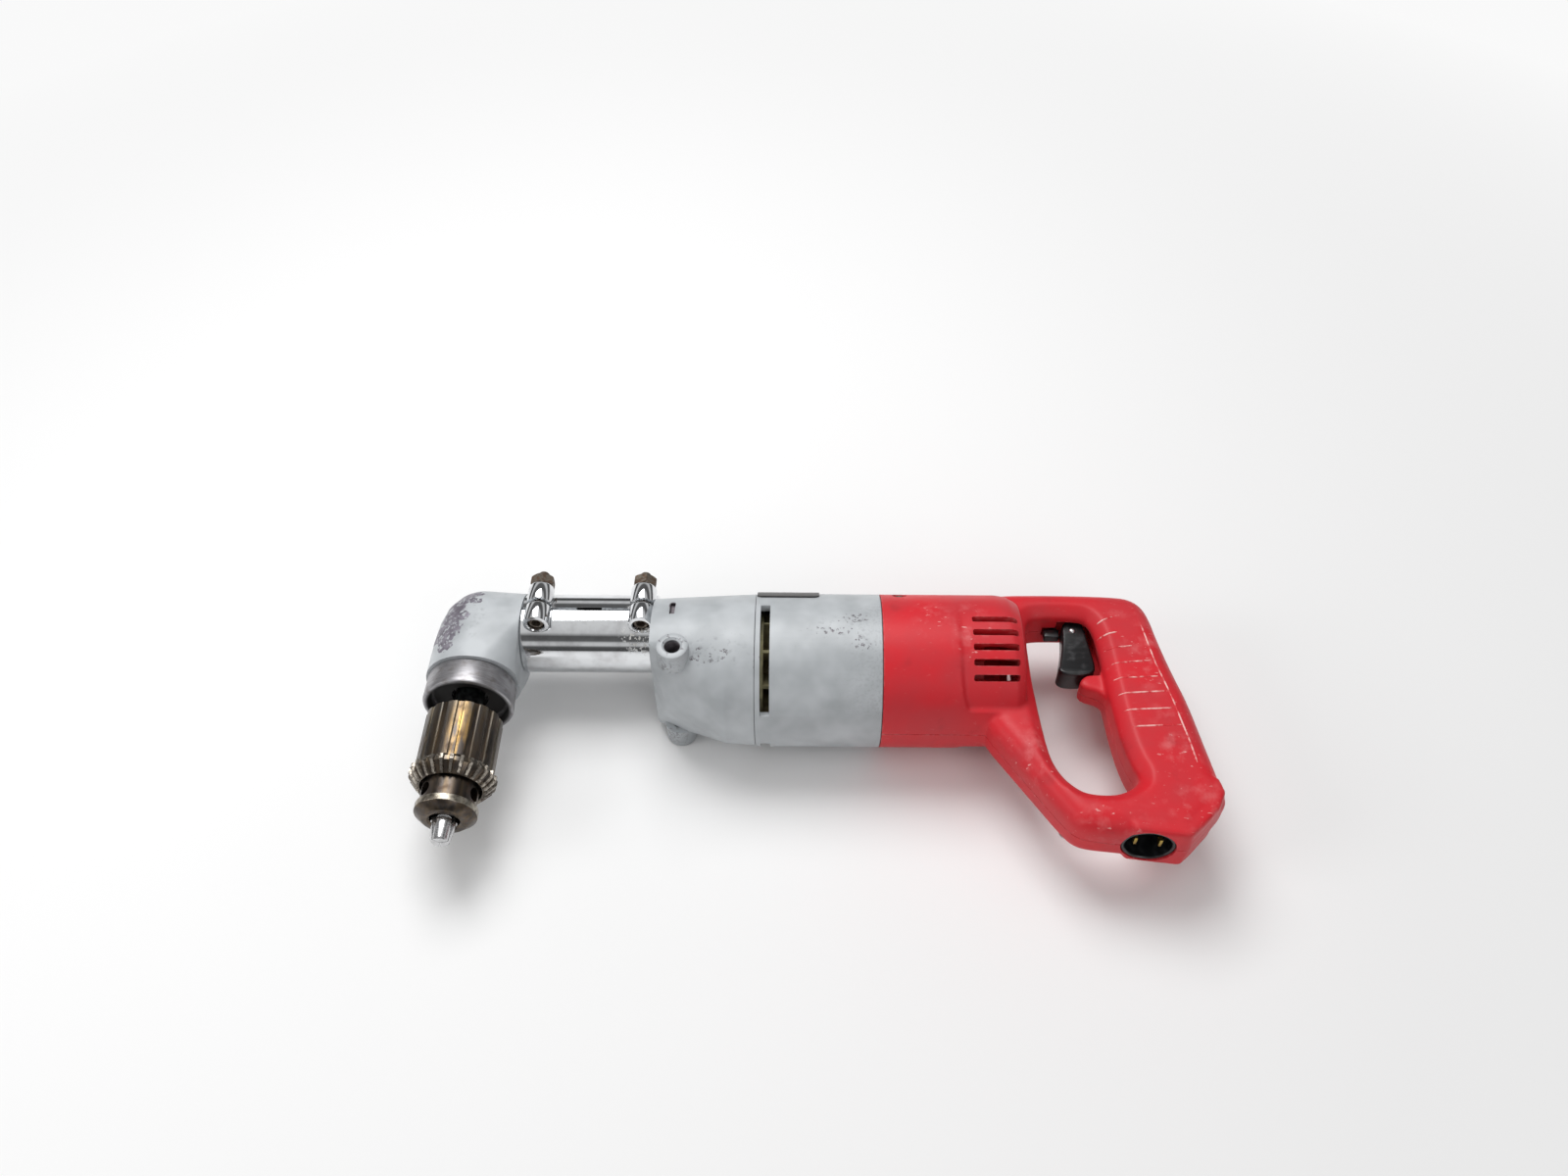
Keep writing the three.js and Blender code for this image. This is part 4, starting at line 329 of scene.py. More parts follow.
RECIPES = {
    # Large ragged patches worn to smooth grey metal on the head's outer side
    "sprayed enamel worn to cast metal": enamel(
        7.0, 0.33,
        (((-12, 36, 16), (18, 17, 24)), ((-14, 13, 21), (15, 24, 20)), ((-17, 34, -18), (15, 15, 18))),
        (((-8, 20, 22), (22, 34, 18)),), metals=("#625D67", "#8A858F"), speck=(0.28, 0.4)),
    # Small dark chips behind the boss, bare threads, painted shade inside the slot, a rub along the top
    "sprayed enamel with chips on cast metal": enamel(
        2.6, 0.54,
        (((138, -18, 38), (22, 10, 12)), ((112, 46, 10), (12, 8, 24)), ((160, 34, 28), (30, 7, 10))),
        (((140, -14, 38), (30, 16, 14)), ((140, 36, 26), (36, 9, 16))),
        (((118.3, -16, 36), (6.0, 6.0, 11)), ((118.3, -16, -36), (6.0, 6.0, 11)),
         # The slot's place paints its inside dark metal: painted shade in the recess
         ((116.1, 14.5, 35), (3, 7, 4)))),
    # Scuffs in a band along the side that faces up
    "sprayed enamel with scuffs on cast metal": enamel(
        2.2, 0.55,
        (((219, 4, 43), (17, 7, 8)), ((205, -5, 43), (34, 4, 8)), ((224, -12, 42), (12, 9, 8)),
         ((176, 37, 26), (14, 6, 9))),
        (((214, -4, 43), (26, 13, 9)), ((190, 38, 24), (30, 5, 10)))),
    "moulded red nylon": red_nylon(),
    # The grip's raised lines, rubbed nearly white on their tops
    "moulded red nylon rubbed pale": {
        "base": ("nylon", "#EBB3AE", WORN_NYLON), "rough": (WORN_NYLON, 0.45, 0.6)},
    "bright chrome plate": chrome_plate(),
    "blackened chuck steel": chuck_steel(),
    # Key teeth, their flanks rubbed bright in use
    "worn key tooth steel": {
        "base": ("#57504A", "#A39C92", TOOTH_WEAR), "rough": (TOOTH_WEAR, 0.45, 0.25), "metal": 1.0},
    # Bright, with fine grinding marks round the tip
    "ground jaw steel": {
        "base": ("#B9B9BA", "#DADADB", GRINDING), "rough": (GRINDING, 0.2, 0.32), "metal": 1.0},
    "dull turned steel": cap_steel(),
    # Nearly black in its recess, with the low gloss of old oil
    "oily hardened steel": {
        "base": ("#2B2C2D", "#4E5152", OIL_FILM), "rough": (OIL_FILM, 0.3, 0.5), "metal": 0.85},
    # Zinc long gone from nuts and screws: brown rust over dull grey
    "rusted fastener steel": {
        "base": ("#7D766C", "#54453A", RUST),
        "layers": ((("MULTIPLY", ("grain", 1.2, 0.58, 0.68, 3.0, 3.0), 0.7), "#6F4526"),),
        "rough": (RUST, 0.42, 0.85), "metal": (RUST, 0.95, 0.3), "relief": (RUST, 0.45, 0.15)},
    # The trigger's low gloss, greyed a little by handling
    "moulded black phenolic": {
        "base": ("#121315", "#3C3E42", ("MULTIPLY", HANDLING, 0.4)),
        "rough": (HANDLING, 0.3, 0.5), "relief": (("grain", 0.7, 0.3, 0.7, 2.0, 0.0), 0.12, 0.05)},
    # The bare plate: black paint on thin aluminium, scratched grey
    "black painted sheet metal": {
        "base": ("#191817", "#5E5A55", SCRATCHES), "rough": (SCRATCHES, 0.38, 0.55)},
    # The fan seen in the exhaust slots, under olive dust
    "dusty black moulding": {"base": ("#5A563F", "#A8A27C", DUST), "rough": (DUST, 0.6, 0.9)},
    # Inner metals: ground rings, greased teeth, sheet stacks, lacquered wire, drawn brass and raw casting
    "ground bearing steel": clouded("#A9A9AA", "#C6C6C7", 6, 0.22, 0.15, 1.0),
    "cut gear steel under grease": clouded("#6E6A64", "#94908A", 4, 0.3, 0.15, 1.0),
    "stacked lamination steel": clouded("#6A6D70", "#8D9093", 2, 0.45, 0.15, 1.0),
    "enamelled winding copper": clouded("#8A4A28", "#B7713F", 2, 0.35, 0.15, 1.0),
    "drawn brass": clouded("#9C8440", "#C2A65C", 5, 0.25, 0.15, 1.0),
    "bare die cast aluminium": clouded("#9A9C9E", "#B4B6B8", 5, 0.4, 0.15, 1.0),
    # Matte black carbon and warm brown phenolic
    "pressed carbon": clouded("#202022", "#39393C", 2, 0.6, 0.2),
    "brown phenolic moulding": clouded("#2B1D15", "#4A3425", 6, 0.45, 0.2),
}
MADE = {}


def finish(name):
    """The material of that name, made from its recipe when it is first used."""
    if name not in MADE:
        MADE[name] = shaded(name, **RECIPES[name])
    return MADE[name]


# Mesh helpers, all in work space


def polar(along, radius, angle):
    """A point at an angle about X."""
    return along, radius * math.cos(angle), radius * math.sin(angle)


def lathe(profile, sides=FINE):
    """A solid about X from [along, radius] points that close on themselves or start and end on the line."""
    mesh = bmesh.new()
    rings = []
    for along, radius in profile:
        count = sides if radius else 1
        rings.append([mesh.verts.new(polar(along, radius, 2 * math.pi * i / sides)) for i in range(count)])
    pairs = list(zip(rings, rings[1:]))
    if profile[0][1] > 0:
        pairs.append((rings[-1], rings[0]))
    for here, there in pairs:
        for i in range(sides):
            j = (i + 1) % sides
            corners = here[i % len(here)], here[j % len(here)], there[j % len(there)], there[i % len(there)]
            kept = list(dict.fromkeys(corners))
            if len(kept) > 2:
                mesh.faces.new(kept)
    bmesh.ops.recalc_face_normals(mesh, faces=mesh.faces)
    return mesh


def rod(start, end, radius, sides=FINE):
    """A round or many-sided bar along X."""
    return lathe([(start, 0), (start, radius), (end, radius), (end, 0)], sides)


def box(low, high):
    """A block between two corners."""
    low, high = Vector(low), Vector(high)
    mesh = bmesh.new()
    bmesh.ops.create_cube(mesh, size=1.0, matrix=Matrix.LocRotScale((low + high) / 2, None, high - low))
    return mesh


def prism(outline, low, high):
    """An outline on the XY plane, extruded along Z."""
    mesh = bmesh.new()
    face = mesh.faces.new([mesh.verts.new((x, y, low)) for x, y in outline])
    grown = bmesh.ops.extrude_face_region(mesh, geom=[face])
    top = [v for v in grown["geom"] if isinstance(v, bmesh.types.BMVert)]
    bmesh.ops.translate(mesh, verts=top, vec=(0, 0, high - low))
    bmesh.ops.recalc_face_normals(mesh, faces=mesh.faces)
    bmesh.ops.triangulate(mesh, faces=[f for f in mesh.faces if len(f.verts) > 4])
    return mesh


def skin(rows):
    """A closed solid over rows of points, each row with as many points."""
    mesh = bmesh.new()
    rows = [[mesh.verts.new(point) for point in row] for row in rows]
    for here, there in zip(rows, rows[1:]):
        for i in range(len(here)):
            j = (i + 1) % len(here)
            mesh.faces.new((here[i], here[j], there[j], there[i]))
    mesh.faces.new(rows[0])
    mesh.faces.new(rows[-1])
    bmesh.ops.recalc_face_normals(mesh, faces=mesh.faces)
    return mesh


def hull(points):
    """The tightest convex solid round the points."""
    mesh = bmesh.new()
    for point in points:
        mesh.verts.new(point)
    made = bmesh.ops.convex_hull(mesh, input=mesh.verts)
    spare = set(made["geom_interior"] + made["geom_unused"])
    bmesh.ops.delete(mesh, geom=[v for v in spare if isinstance(v, bmesh.types.BMVert)], context="VERTS")
    bmesh.ops.recalc_face_normals(mesh, faces=mesh.faces)
    return mesh


def reshaped(mesh, rows, place):
    """Cuts edge rows across a mesh along Y, then moves each point to its new place."""
    for y in rows:
        geometry = mesh.verts[:] + mesh.edges[:] + mesh.faces[:]
        bmesh.ops.bisect_plane(mesh, geom=geometry, plane_co=(0, y, 0), plane_no=(0, 1, 0))
    for vertex in mesh.verts:
        vertex.co = place(*vertex.co)
    bmesh.ops.recalc_face_normals(mesh, faces=mesh.faces)
    return mesh


def moved(mesh, *steps):
    """Applies the given matrices in turn."""
    for step in steps:
        bmesh.ops.transform(mesh, verts=mesh.verts, matrix=step)
    return mesh


def turn(angle, axis):
    """A turn about an axis of work space."""
    return Matrix.Rotation(angle, 4, axis)


def shift(x, y, z):
    """A move by so much."""
    return Matrix.Translation((x, y, z))


# Quarter turns for pieces made along X
X_TO_Y = turn(math.pi / 2, "Z")
X_TO_Z = turn(-math.pi / 2, "Y")

# From a piece's own line along X to the output line, whose X runs from the elbow to the jaws
TO_OUTPUT = Matrix(((0, 1, 0, 0), (-1, 0, 0, SPINDLE_LIFT), (0, 0, 1, 0), (0, 0, 0, 1)))
TO_SPINDLE = shift(0, SPINDLE_LIFT, 0)
WORK_TO_FRAME = Matrix.Translation(ORIGIN) @ Matrix.Scale(MM, 4)


def linked(name, data):
    """A new object in the scene."""
    made = bpy.data.objects.new(name, data)
    bpy.context.scene.collection.objects.link(made)
    return made


def as_object(name, mesh):
    """A bmesh as an object."""
    data = bpy.data.meshes.new(name)
    mesh.to_mesh(data)
    mesh.free()
    return linked(name, data)


def modified(made, kind, inputs=(), **settings):
    """Gives an object a modifier with its settings, and applies it to the mesh."""
    change = made.modifiers.new(kind, kind)
    for name, value in settings.items():
        setattr(change, name, value)
    for identifier, value in inputs:
        change[identifier] = value
    graph = bpy.context.evaluated_depsgraph_get()
    data = bpy.data.meshes.new_from_object(made.evaluated_get(graph))
    made.modifiers.clear()
    old = made.data
    made.data = data
    bpy.data.meshes.remove(old)
    return made


def carve(made, operation, *tools):
    """Joins or cuts an object with bmeshes or objects, one after the other."""
    for tool in tools:
        other = tool if isinstance(tool, bpy.types.Object) else as_object("tool", tool)
        modified(made, "BOOLEAN", object=other, operation=operation, solver="MANIFOLD")
        bpy.data.objects.remove(other)
        if not made.data.polygons:
            raise RuntimeError(f"{made.name}: the {operation.lower()} left nothing")
    return made


def soften(made, voxel, rounds):
    """Blends a form's edges: an even fine mesh, smoothed."""
    modified(made, "REMESH", mode="VOXEL", voxel_size=voxel)
    return modified(made, "SMOOTH", factor=0.5, iterations=rounds)


def chamfered(made, width, angle=40.0, segments=2):
    """Rounds the edges that are sharper than an angle."""
    return modified(made, "BEVEL", width=width, segments=segments, limit_method="ANGLE",
                    angle_limit=math.radians(angle))


def join(first, *others):
    """Adds other objects' meshes to the first, unjoined."""
    mesh = bmesh.new()
    mesh.from_mesh(first.data)
    for other in others:
        mesh.from_mesh(other.data)
        bpy.data.objects.remove(other)
    mesh.to_mesh(first.data)
    mesh.free()
    return first


def place_piece(made, look, body, nodes=(), smooth=35.0):
    """Moves a finished piece from work space to the frame, gives it its finish and lets it ride."""
    made.data.transform(WORK_TO_FRAME)
    made.data.materials.clear()
    made.data.materials.append(finish(look))
    for polygon in made.data.polygons:
        polygon.material_index = 0
    made.data.shade_smooth()
    made.data.set_sharp_from_angle(angle=math.radians(smooth))
    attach(made, body)
    if nodes:
        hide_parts(*nodes)


def corner_cut(points, rounds=2):
    """Rounds a closed outline by cutting its corners again and again."""
    for _ in range(rounds):
        cut = []
        for (ax, ay), (bx, by) in zip(points, points[1:] + points[:1]):
            cut.append((ax * 0.75 + bx * 0.25, ay * 0.75 + by * 0.25))
            cut.append((ax * 0.25 + bx * 0.75, ay * 0.25 + by * 0.75))
        points = cut
    return points


def rounded_plate(outline, half, edge, steps=4):
    """A plate over an outline on the XY plane, with round edges, kept to the outline."""
    curve = bpy.data.curves.new("plate", "CURVE")
    curve.dimensions = "2D"
    curve.fill_mode = "BOTH"
    curve.extrude = half - edge
    curve.bevel_depth = edge
    curve.bevel_resolution = steps
    curve.offset = -edge
    spline = curve.splines.new("POLY")
    spline.points.add(len(outline) - 1)
    for point, (x, y) in zip(spline.points, outline):
        point.co = (x, y, 0, 1)
    spline.use_cyclic_u = True
    shown = linked("plate", curve)
    graph = bpy.context.evaluated_depsgraph_get()
    data = bpy.data.meshes.new_from_object(shown.evaluated_get(graph))
    bpy.data.objects.remove(shown)
    mesh = bmesh.new()
    mesh.from_mesh(data)
    bpy.data.meshes.remove(data)
    bmesh.ops.remove_doubles(mesh, verts=mesh.verts, dist=0.001)
    bmesh.ops.recalc_face_normals(mesh, faces=mesh.faces)
    return mesh


# Geometry Nodes: copies round the X line


def round_tree():
    """The tree that makes Count copies of a piece, each turned on by Step about X."""
    name = "copies round a line"
    if name in bpy.data.node_groups:
        return bpy.data.node_groups[name]
    tree = bpy.data.node_groups.new(name, "GeometryNodeTree")
    kinds = {"Geometry": "Geometry", "Count": "Int", "Step": "Float", "Material": "Material"}
    for label, kind in kinds.items():
        tree.interface.new_socket(label, in_out="INPUT", socket_type=f"NodeSocket{kind}")
    tree.interface.new_socket("Geometry", in_out="OUTPUT", socket_type="NodeSocketGeometry")
    given = add(tree, "NodeGroupInput").outputs
    points = add(tree, "GeometryNodePoints", {"Count": given["Count"]})
    index = add(tree, "GeometryNodeInputIndex")
    angle = add(tree, "ShaderNodeMath", {0: index.outputs[0], 1: given["Step"]}, operation="MULTIPLY")
    turned = add(tree, "ShaderNodeCombineXYZ", {"X": angle.outputs[0]})
    copies = add(tree, "GeometryNodeInstanceOnPoints", {
        "Points": points.outputs[0], "Instance": given["Geometry"], "Rotation": turned.outputs[0]})
    real = add(tree, "GeometryNodeRealizeInstances", {"Geometry": copies.outputs[0]})
    coloured = add(tree, "GeometryNodeSetMaterial", {
        "Geometry": real.outputs[0], "Material": given["Material"]})
    add(tree, "NodeGroupOutput", {"Geometry": coloured.outputs[0]})
    return tree


def repeated(name, mesh, look, count, step):
    """One mesh repeated round X, as a plain mesh."""
    tree = round_tree()
    values = {"Count": count, "Step": step, "Material": finish(look)}
    sockets = [item for item in tree.interface.items_tree if item.name in values]
    inputs = [(item.identifier, values[item.name]) for item in sockets]
    return modified(as_object(name, mesh), "NODES", inputs, node_group=tree)


# Sizes and colours that a user would change


def millimetres(name, description, default):
    """A size in millimetres."""
    return bpy.props.FloatProperty(name=name, description=f"{description}, mm", default=default, min=0.0)


def number(name, description, default):
    """A count of like forms."""
    return bpy.props.IntProperty(name=name, description=description, default=default, min=1)


def tone(name, description, default):
    """A colour as sRGB hex text."""
    return bpy.props.StringProperty(name=name, description=description, default=default)


class DRILL_PG_finish(bpy.types.PropertyGroup):
    enamel: tone("Enamel", "Grey enamel in the light", "#B7BBBE")
    enamel_shade: tone("Enamel shade", "Enamel dulled by handling", "#A3A7AA")
    nylon: tone("Nylon", "Red handle moulding", "#CE1F2A")
    nylon_shade: tone("Nylon shade", "Red moulding, faded", "#C02C34")
    chuck: tone("Chuck", "Blackened steel", "#3B3734")
    chuck_worn: tone("Chuck wear", "Steel rubbed bare", "#625B57")


class DRILL_PG_head(bpy.types.PropertyGroup):
    radius: millimetres("Barrel radius", "Radius of the head's barrel", 26.6)
    collar: millimetres("Collar radius", "Radius where the sleeve meets it", SLEEVE_RADIUS)
    cap_recess: millimetres("Cap recess", "Depth of the end cap's recess", 7.0)
    cap_groove: millimetres("Cap groove", "Width of the groove above the cap", 0.9)


class DRILL_PG_chuck(bpy.types.PropertyGroup):
    grooves: number("Grooves", "Grooves round the sleeve", 15)
    teeth: number("Key teeth", "Teeth round the ring", 27)
    groove_depth: millimetres("Groove depth", "Depth of a groove", 1.1)
    jaw_radius: millimetres("Jaw radius", "Radius of a jaw's rod", 4.2)


class DRILL_PG_handle(bpy.types.PropertyGroup):
    edge: millimetres("Grip rounding", "Radius of the grip's edges", 11.0)
    vents: number("Vents", "Air slots on each side", 5)
    vent_height: millimetres("Vent height", "Height of an air slot", 3.8)
    rib_height: millimetres("Rib radius", "Radius of a raised line", 0.55)


# Head


def ring_down(along, radius, count=64):
    """Points round the chuck's line, so far below the elbow."""
    angles = [2 * math.pi * i / count for i in range(count)]
    return [(radius * math.cos(a), SPINDLE_LIFT - along, radius * math.sin(a)) for a in angles]


def ring_along(x, centre_y, radius, count=64, start=0.0, end=2 * math.pi):
    """Points round a line along X, from one angle to another."""
    angles = [start + (end - start) * i / count for i in range(count + 1)]
    return [(x, centre_y + radius * math.cos(a), radius * math.sin(a)) for a in angles]


class DRILL_OT_head(bpy.types.Operator):
    """Builds the elbow casting, its end cap and the spindle below it"""
    bl_idname = "drill.head"
    bl_label = "Head"

    def execute(self, context):
        sizes = context.scene.drill_head
        self.casting(sizes)
        self.cap(sizes)
        self.spindle()
        return {"FINISHED"}

    def casting(self, sizes):
        """A round barrel with a domed top that runs into the sleeve's collar."""
        low, high = extent("head_housing")
        barrel_end = SPINDLE_LIFT - low.y
        top = high.y - SPINDLE_LIFT
        face = extent("clamp_sleeve")[0].x - GAP
        spare = 3.0
        points = []
        for share, radius_share in ((1.0, 1.0), (0.42, 0.99), (0.05, 0.95)):
            points += ring_down(barrel_end * share, sizes.radius * radius_share)
        points += ring_down(barrel_end + spare, sizes.radius)
        for rise, radius_share in ((0.35, 0.86), (0.7, 0.68), (0.88, 0.53), (1.0, 0.34)):
            points += ring_down(-top * rise, sizes.radius * radius_share)
        for x in (face, face + spare):
            points += ring_along(x, SPINDLE_LIFT, sizes.collar)
        casting = soften(as_object("head_casting", hull(points)), 0.75, 8)
        reach = 2 * sizes.radius
        keep = box((-reach, SPINDLE_LIFT - barrel_end, -reach), (face, SPINDLE_LIFT + reach, reach))
        carve(casting, "INTERSECT", keep)
        bore = extent("pinion_bearing")[1].z + GAP
        outside = sizes.collar - 2.8
        collar = lathe([(face - OVERRUN, bore), (face - OVERRUN, outside), (high.x, outside), (high.x, bore)])
        hollow = rod(-barrel_end - OVERRUN, sizes.radius / 4, sizes.radius - 5)
        carve(casting, "DIFFERENCE", moved(hollow, X_TO_Y, TO_SPINDLE),
              moved(rod(0, high.x, bore), TO_SPINDLE))
        join(casting, as_object("collar", moved(collar, TO_SPINDLE)))
        look = "sprayed enamel worn to cast metal"
        place_piece(casting, look, "head", ["head_housing"])

    def cap(self, sizes):
        """The screwed cap: a thin groove above it, a slight flare, a round rim and a deep recess."""
        thread, end, radius = turned_span("head_end_cap")
        start = turned_span("head_housing")[1]
        seat_end, seat_radius = (size + GAP for size in turned_span("spindle_low_bearing")[1:])
        groove = start + sizes.cap_groove
        floor = end - sizes.cap_recess
        profile = [
            (thread, seat_radius), (thread, sizes.radius - 5.5), (start, sizes.radius - 5.5),
            (start, radius - 1.6), (groove, radius - 1.6), (groove + 0.3, radius - 0.7),
            (groove + 1.0, radius - 0.45), (end - 3.2, radius - 0.05), (end - 1.4, radius),
            (end - 0.5, radius - 0.35), (end - 0.1, radius - 1.0), (end, radius - 1.7),
            (end - 0.1, radius - 2.5), (end - 0.6, radius - 3.1), (end - 1.5, radius - 3.5),
            (floor, radius - 4.2), (floor, seat_radius - 5.5), (seat_end, seat_radius - 5.5),
            (seat_end, seat_radius),
        ]
        cap = as_object("end_cap", moved(lathe(profile, 128), TO_OUTPUT))
        place_piece(cap, "dull turned steel", "head", ["head_end_cap"], 25.0)

    def spindle(self):
        """The output spindle, turned, with its threaded end inside the chuck."""
        top, end, flange = turned_span("output_spindle")
        shoulder = turned_span("chuck_sleeve")[0] - GAP
        front, back, _ = turned_span("output_bevel_gear")
        back += GAP
        profile = [(top, 0), (top, 4.2), (front - 4.0, 4.2), (front - 2.0, 6.0), (front, 6.9), (back, 6.9),
                   (back, flange), (shoulder - 2.0, flange), (shoulder - 1.4, flange - 0.6),
                   (shoulder - 0.6, flange - 0.6), (shoulder, flange - 0.2), (shoulder, 6.3), (end, 6.3),
                   (end, 0)]
        profile = [point for point in profile if point[0] >= top]
        spindle = as_object("turned_spindle", moved(lathe(profile, 64), TO_OUTPUT))
        place_piece(spindle, "oily hardened steel", "output", ["output_spindle"])


# Chuck


class DRILL_OT_chuck(bpy.types.Operator):
    """Builds the keyed chuck: grooved sleeve, key teeth, body and three jaws"""
    bl_idname = "drill.chuck"
    bl_label = "Chuck"

    def execute(self, context):
        sizes = context.scene.drill_chuck
        self.start, self.teeth_end, self.ring_radius = turned_span("chuck_sleeve")
        self.ring_start = self.teeth_end - 9.0
        self.nose_end = turned_span("chuck_body")[1]
        self.tip = turned_span("chuck_jaw_1")[1]
        self.jaw_angle = math.acos(abs(JOINTS["jaw_1_slide"]["axis"][1]))
        self.jaw_turn = math.radians(14)
        self.crossing = self.tip + 5.0
        self.sleeve(sizes)
        self.teeth(sizes)
        self.body(sizes)
        for index in range(3):
            self.jaw(sizes, index)
        return {"FINISHED"}

    def sleeve(self, sizes):
        """A turned core with raised lands between its grooves, each land with chamfered long edges."""
        start, ring = self.start, self.ring_start
        radius = self.ring_radius - 2.5
        floor = radius - sizes.groove_depth
        bore = turned_span("chuck_nut")[2] + GAP
        shoulder = self.ring_radius - 1.4
        core = lathe([
            (start + 0.8, bore), (start, bore + 0.5), (start, floor - 0.6), (start + 0.6, floor),
            (ring - 0.2, floor), (ring + 0.5, floor + 0.8), (ring + 0.5, shoulder), (ring + 3.0, shoulder),
            (self.teeth_end - 0.9, 18.0), (self.teeth_end - 0.5, 17.4), (self.teeth_end - 0.5, 17.0),
            (ring, 17.0), (ring, bore),
        ], 120)
        pitch = 2 * math.pi / sizes.grooves
        half = pitch * 0.33
        across = ((-half, 1.6), (-half, 0.45), (-half * 0.82, 0.0), (0.0, -0.08), (half * 0.82, 0.0),
                  (half, 0.45), (half, 1.6))
        along = ((start + 0.1, 0.9), (start + 1.0, 0.0), (ring - 1.4, 0.0), (ring + 0.6, -1.2))
        land = skin([[polar(at, radius - sink - drop, angle) for angle, sink in across]
                     for at, drop in along])
        look = "blackened chuck steel"
        sleeve = join(as_object("grooved_sleeve", core), repeated("lands", land, look, sizes.grooves, pitch))
        sleeve.data.transform(TO_OUTPUT)
        place_piece(sleeve, look, "chuck_ring", ["chuck_sleeve"], 30.0)

    def teeth(self, sizes):
        """One key tooth, a ridge down the cone and round the rim, repeated round the ring."""
        ring, end, rim = self.ring_start, self.teeth_end, self.ring_radius
        stations = (((ring + 0.2, rim - 1.6), (ring - 0.2, rim - 0.7)),
                    ((ring + 0.4, rim - 2.0), (ring + 0.1, rim)),
                    ((ring + 2.6, rim - 2.2), (ring + 3.0, rim)),
                    ((end - 1.4, 17.6), (end - 0.4, 19.2)), ((end - 1.2, 17.0), (end, 18.2)))
        pitch = 2 * math.pi / sizes.teeth
        foot, tip = 0.31 * pitch, 0.15 * pitch
        tooth = skin([[polar(*root, -foot), polar(*root, foot), polar(*top, tip), polar(*top, -tip)]
                      for root, top in stations])
        look = "worn key tooth steel"
        teeth = repeated("key_teeth", tooth, look, sizes.teeth, pitch)
        teeth.data.transform(TO_OUTPUT)
        place_piece(teeth, look, "chuck_ring", smooth=20.0)

    def body(self, sizes):
        """The chuck's body: neck, nose band and taper, with key holes and three jaw paths."""
        start, end = self.start, self.nose_end
        nut, nut_end, upper = turned_span("chuck_nut")
        nut, nut_end, upper = nut - GAP, nut_end + GAP, upper - GAP
        neck, band = 15.3, 16.9
        thread, bore = 6.65, 6.7
        profile = [
            (start + 0.2, thread), (start + 0.2, upper - 1.0), (start + 1.0, upper), (nut, upper),
            (nut, 12.8), (nut_end, 12.8), (nut_end, neck), (end - 8.7, neck), (end - 8.3, band - 0.5),
            (end - 7.9, band), (end - 4.4, band), (end - 3.9, band - 0.3), (end - 0.4, band - 4.4),
            (end, band - 5.2), (end, 9.2), (end - 0.9, 8.1), (end - 9.0, 7.6), (end - 9.0, bore),
            (start + 17.3, bore), (start + 17.3, thread),
        ]
        body = as_object("chuck_barrel", lathe(profile, 128))
        for index in range(3):
            key_turn = -self.jaw_turn - (2 * index + 1) * math.pi / 3
            key_hole = moved(rod(9.6, 20.0, 3.9, 40), X_TO_Z, shift(start + 50.6, 0, 0),
                             turn(key_turn, "X"))
            carve(body, "DIFFERENCE", key_hole, self.path(index, sizes.jaw_radius + GAP, 76.0))
        body.data.transform(TO_OUTPUT)
        place_piece(body, "blackened chuck steel", "output", ["chuck_body"], 28.0)

    def spin(self, index):
        """A jaw's turn about the chuck's line."""
        return -self.jaw_turn - 2 * index * math.pi / 3

    def path(self, index, radius, length):
        """A rod on one jaw's slanted path."""
        start = -5.0 / math.cos(self.jaw_angle) + OVERRUN
        return moved(rod(start - length, start, radius, 48), turn(self.jaw_angle, "Y"),
                     shift(self.crossing, 0, 0), turn(self.spin(index), "X"))

    def jaw(self, sizes, index):
        """One third of the jaws: a slanted round rod with a wedge-shaped tip."""
        jaw = as_object(f"jaw_{index + 1}", self.path(index, sizes.jaw_radius, 54.0))
        back = self.tip - 42.0
        reach = 40.0
        inset = GAP / 2 / math.sin(math.pi / 3)
        side = reach * math.tan(math.pi / 3)
        wedge = prism([(0, inset), (side, inset + reach), (-side, inset + reach)], back, self.tip)
        moved(wedge, turn(math.pi / 2, "Y"), turn(math.pi / 2 + self.spin(index), "X"))
        point = lathe([(back - OVERRUN, 0), (back - OVERRUN, reach), (self.nose_end - 12.0, reach),
                       (self.nose_end, 6.3), (self.tip - 4.0, 6.2), (self.tip - 1.0, 5.6), (self.tip, 4.4),
                       (self.tip, 0)], 96)
        carve(jaw, "INTERSECT", wedge, point)
        jaw.data.transform(TO_OUTPUT)
        number = index + 1
        place_piece(jaw, "ground jaw steel", f"jaw_{number}", [f"chuck_jaw_{number}"], 25.0)


# Clamp sleeve with its screws and nuts


def threaded(start, end, radius, pitch=1.25, depth=0.45):
    """The profile of a threaded stretch as rings, for a lathe."""
    points = []
    count = max(1, int((end - start) / pitch))
    for i in range(count):
        along = start + i * pitch
        points += [(along, radius - depth), (along + pitch * 0.45, radius), (along + pitch * 0.6, radius)]
    return [p for p in points if p[0] < end] + [(end, radius - depth)]


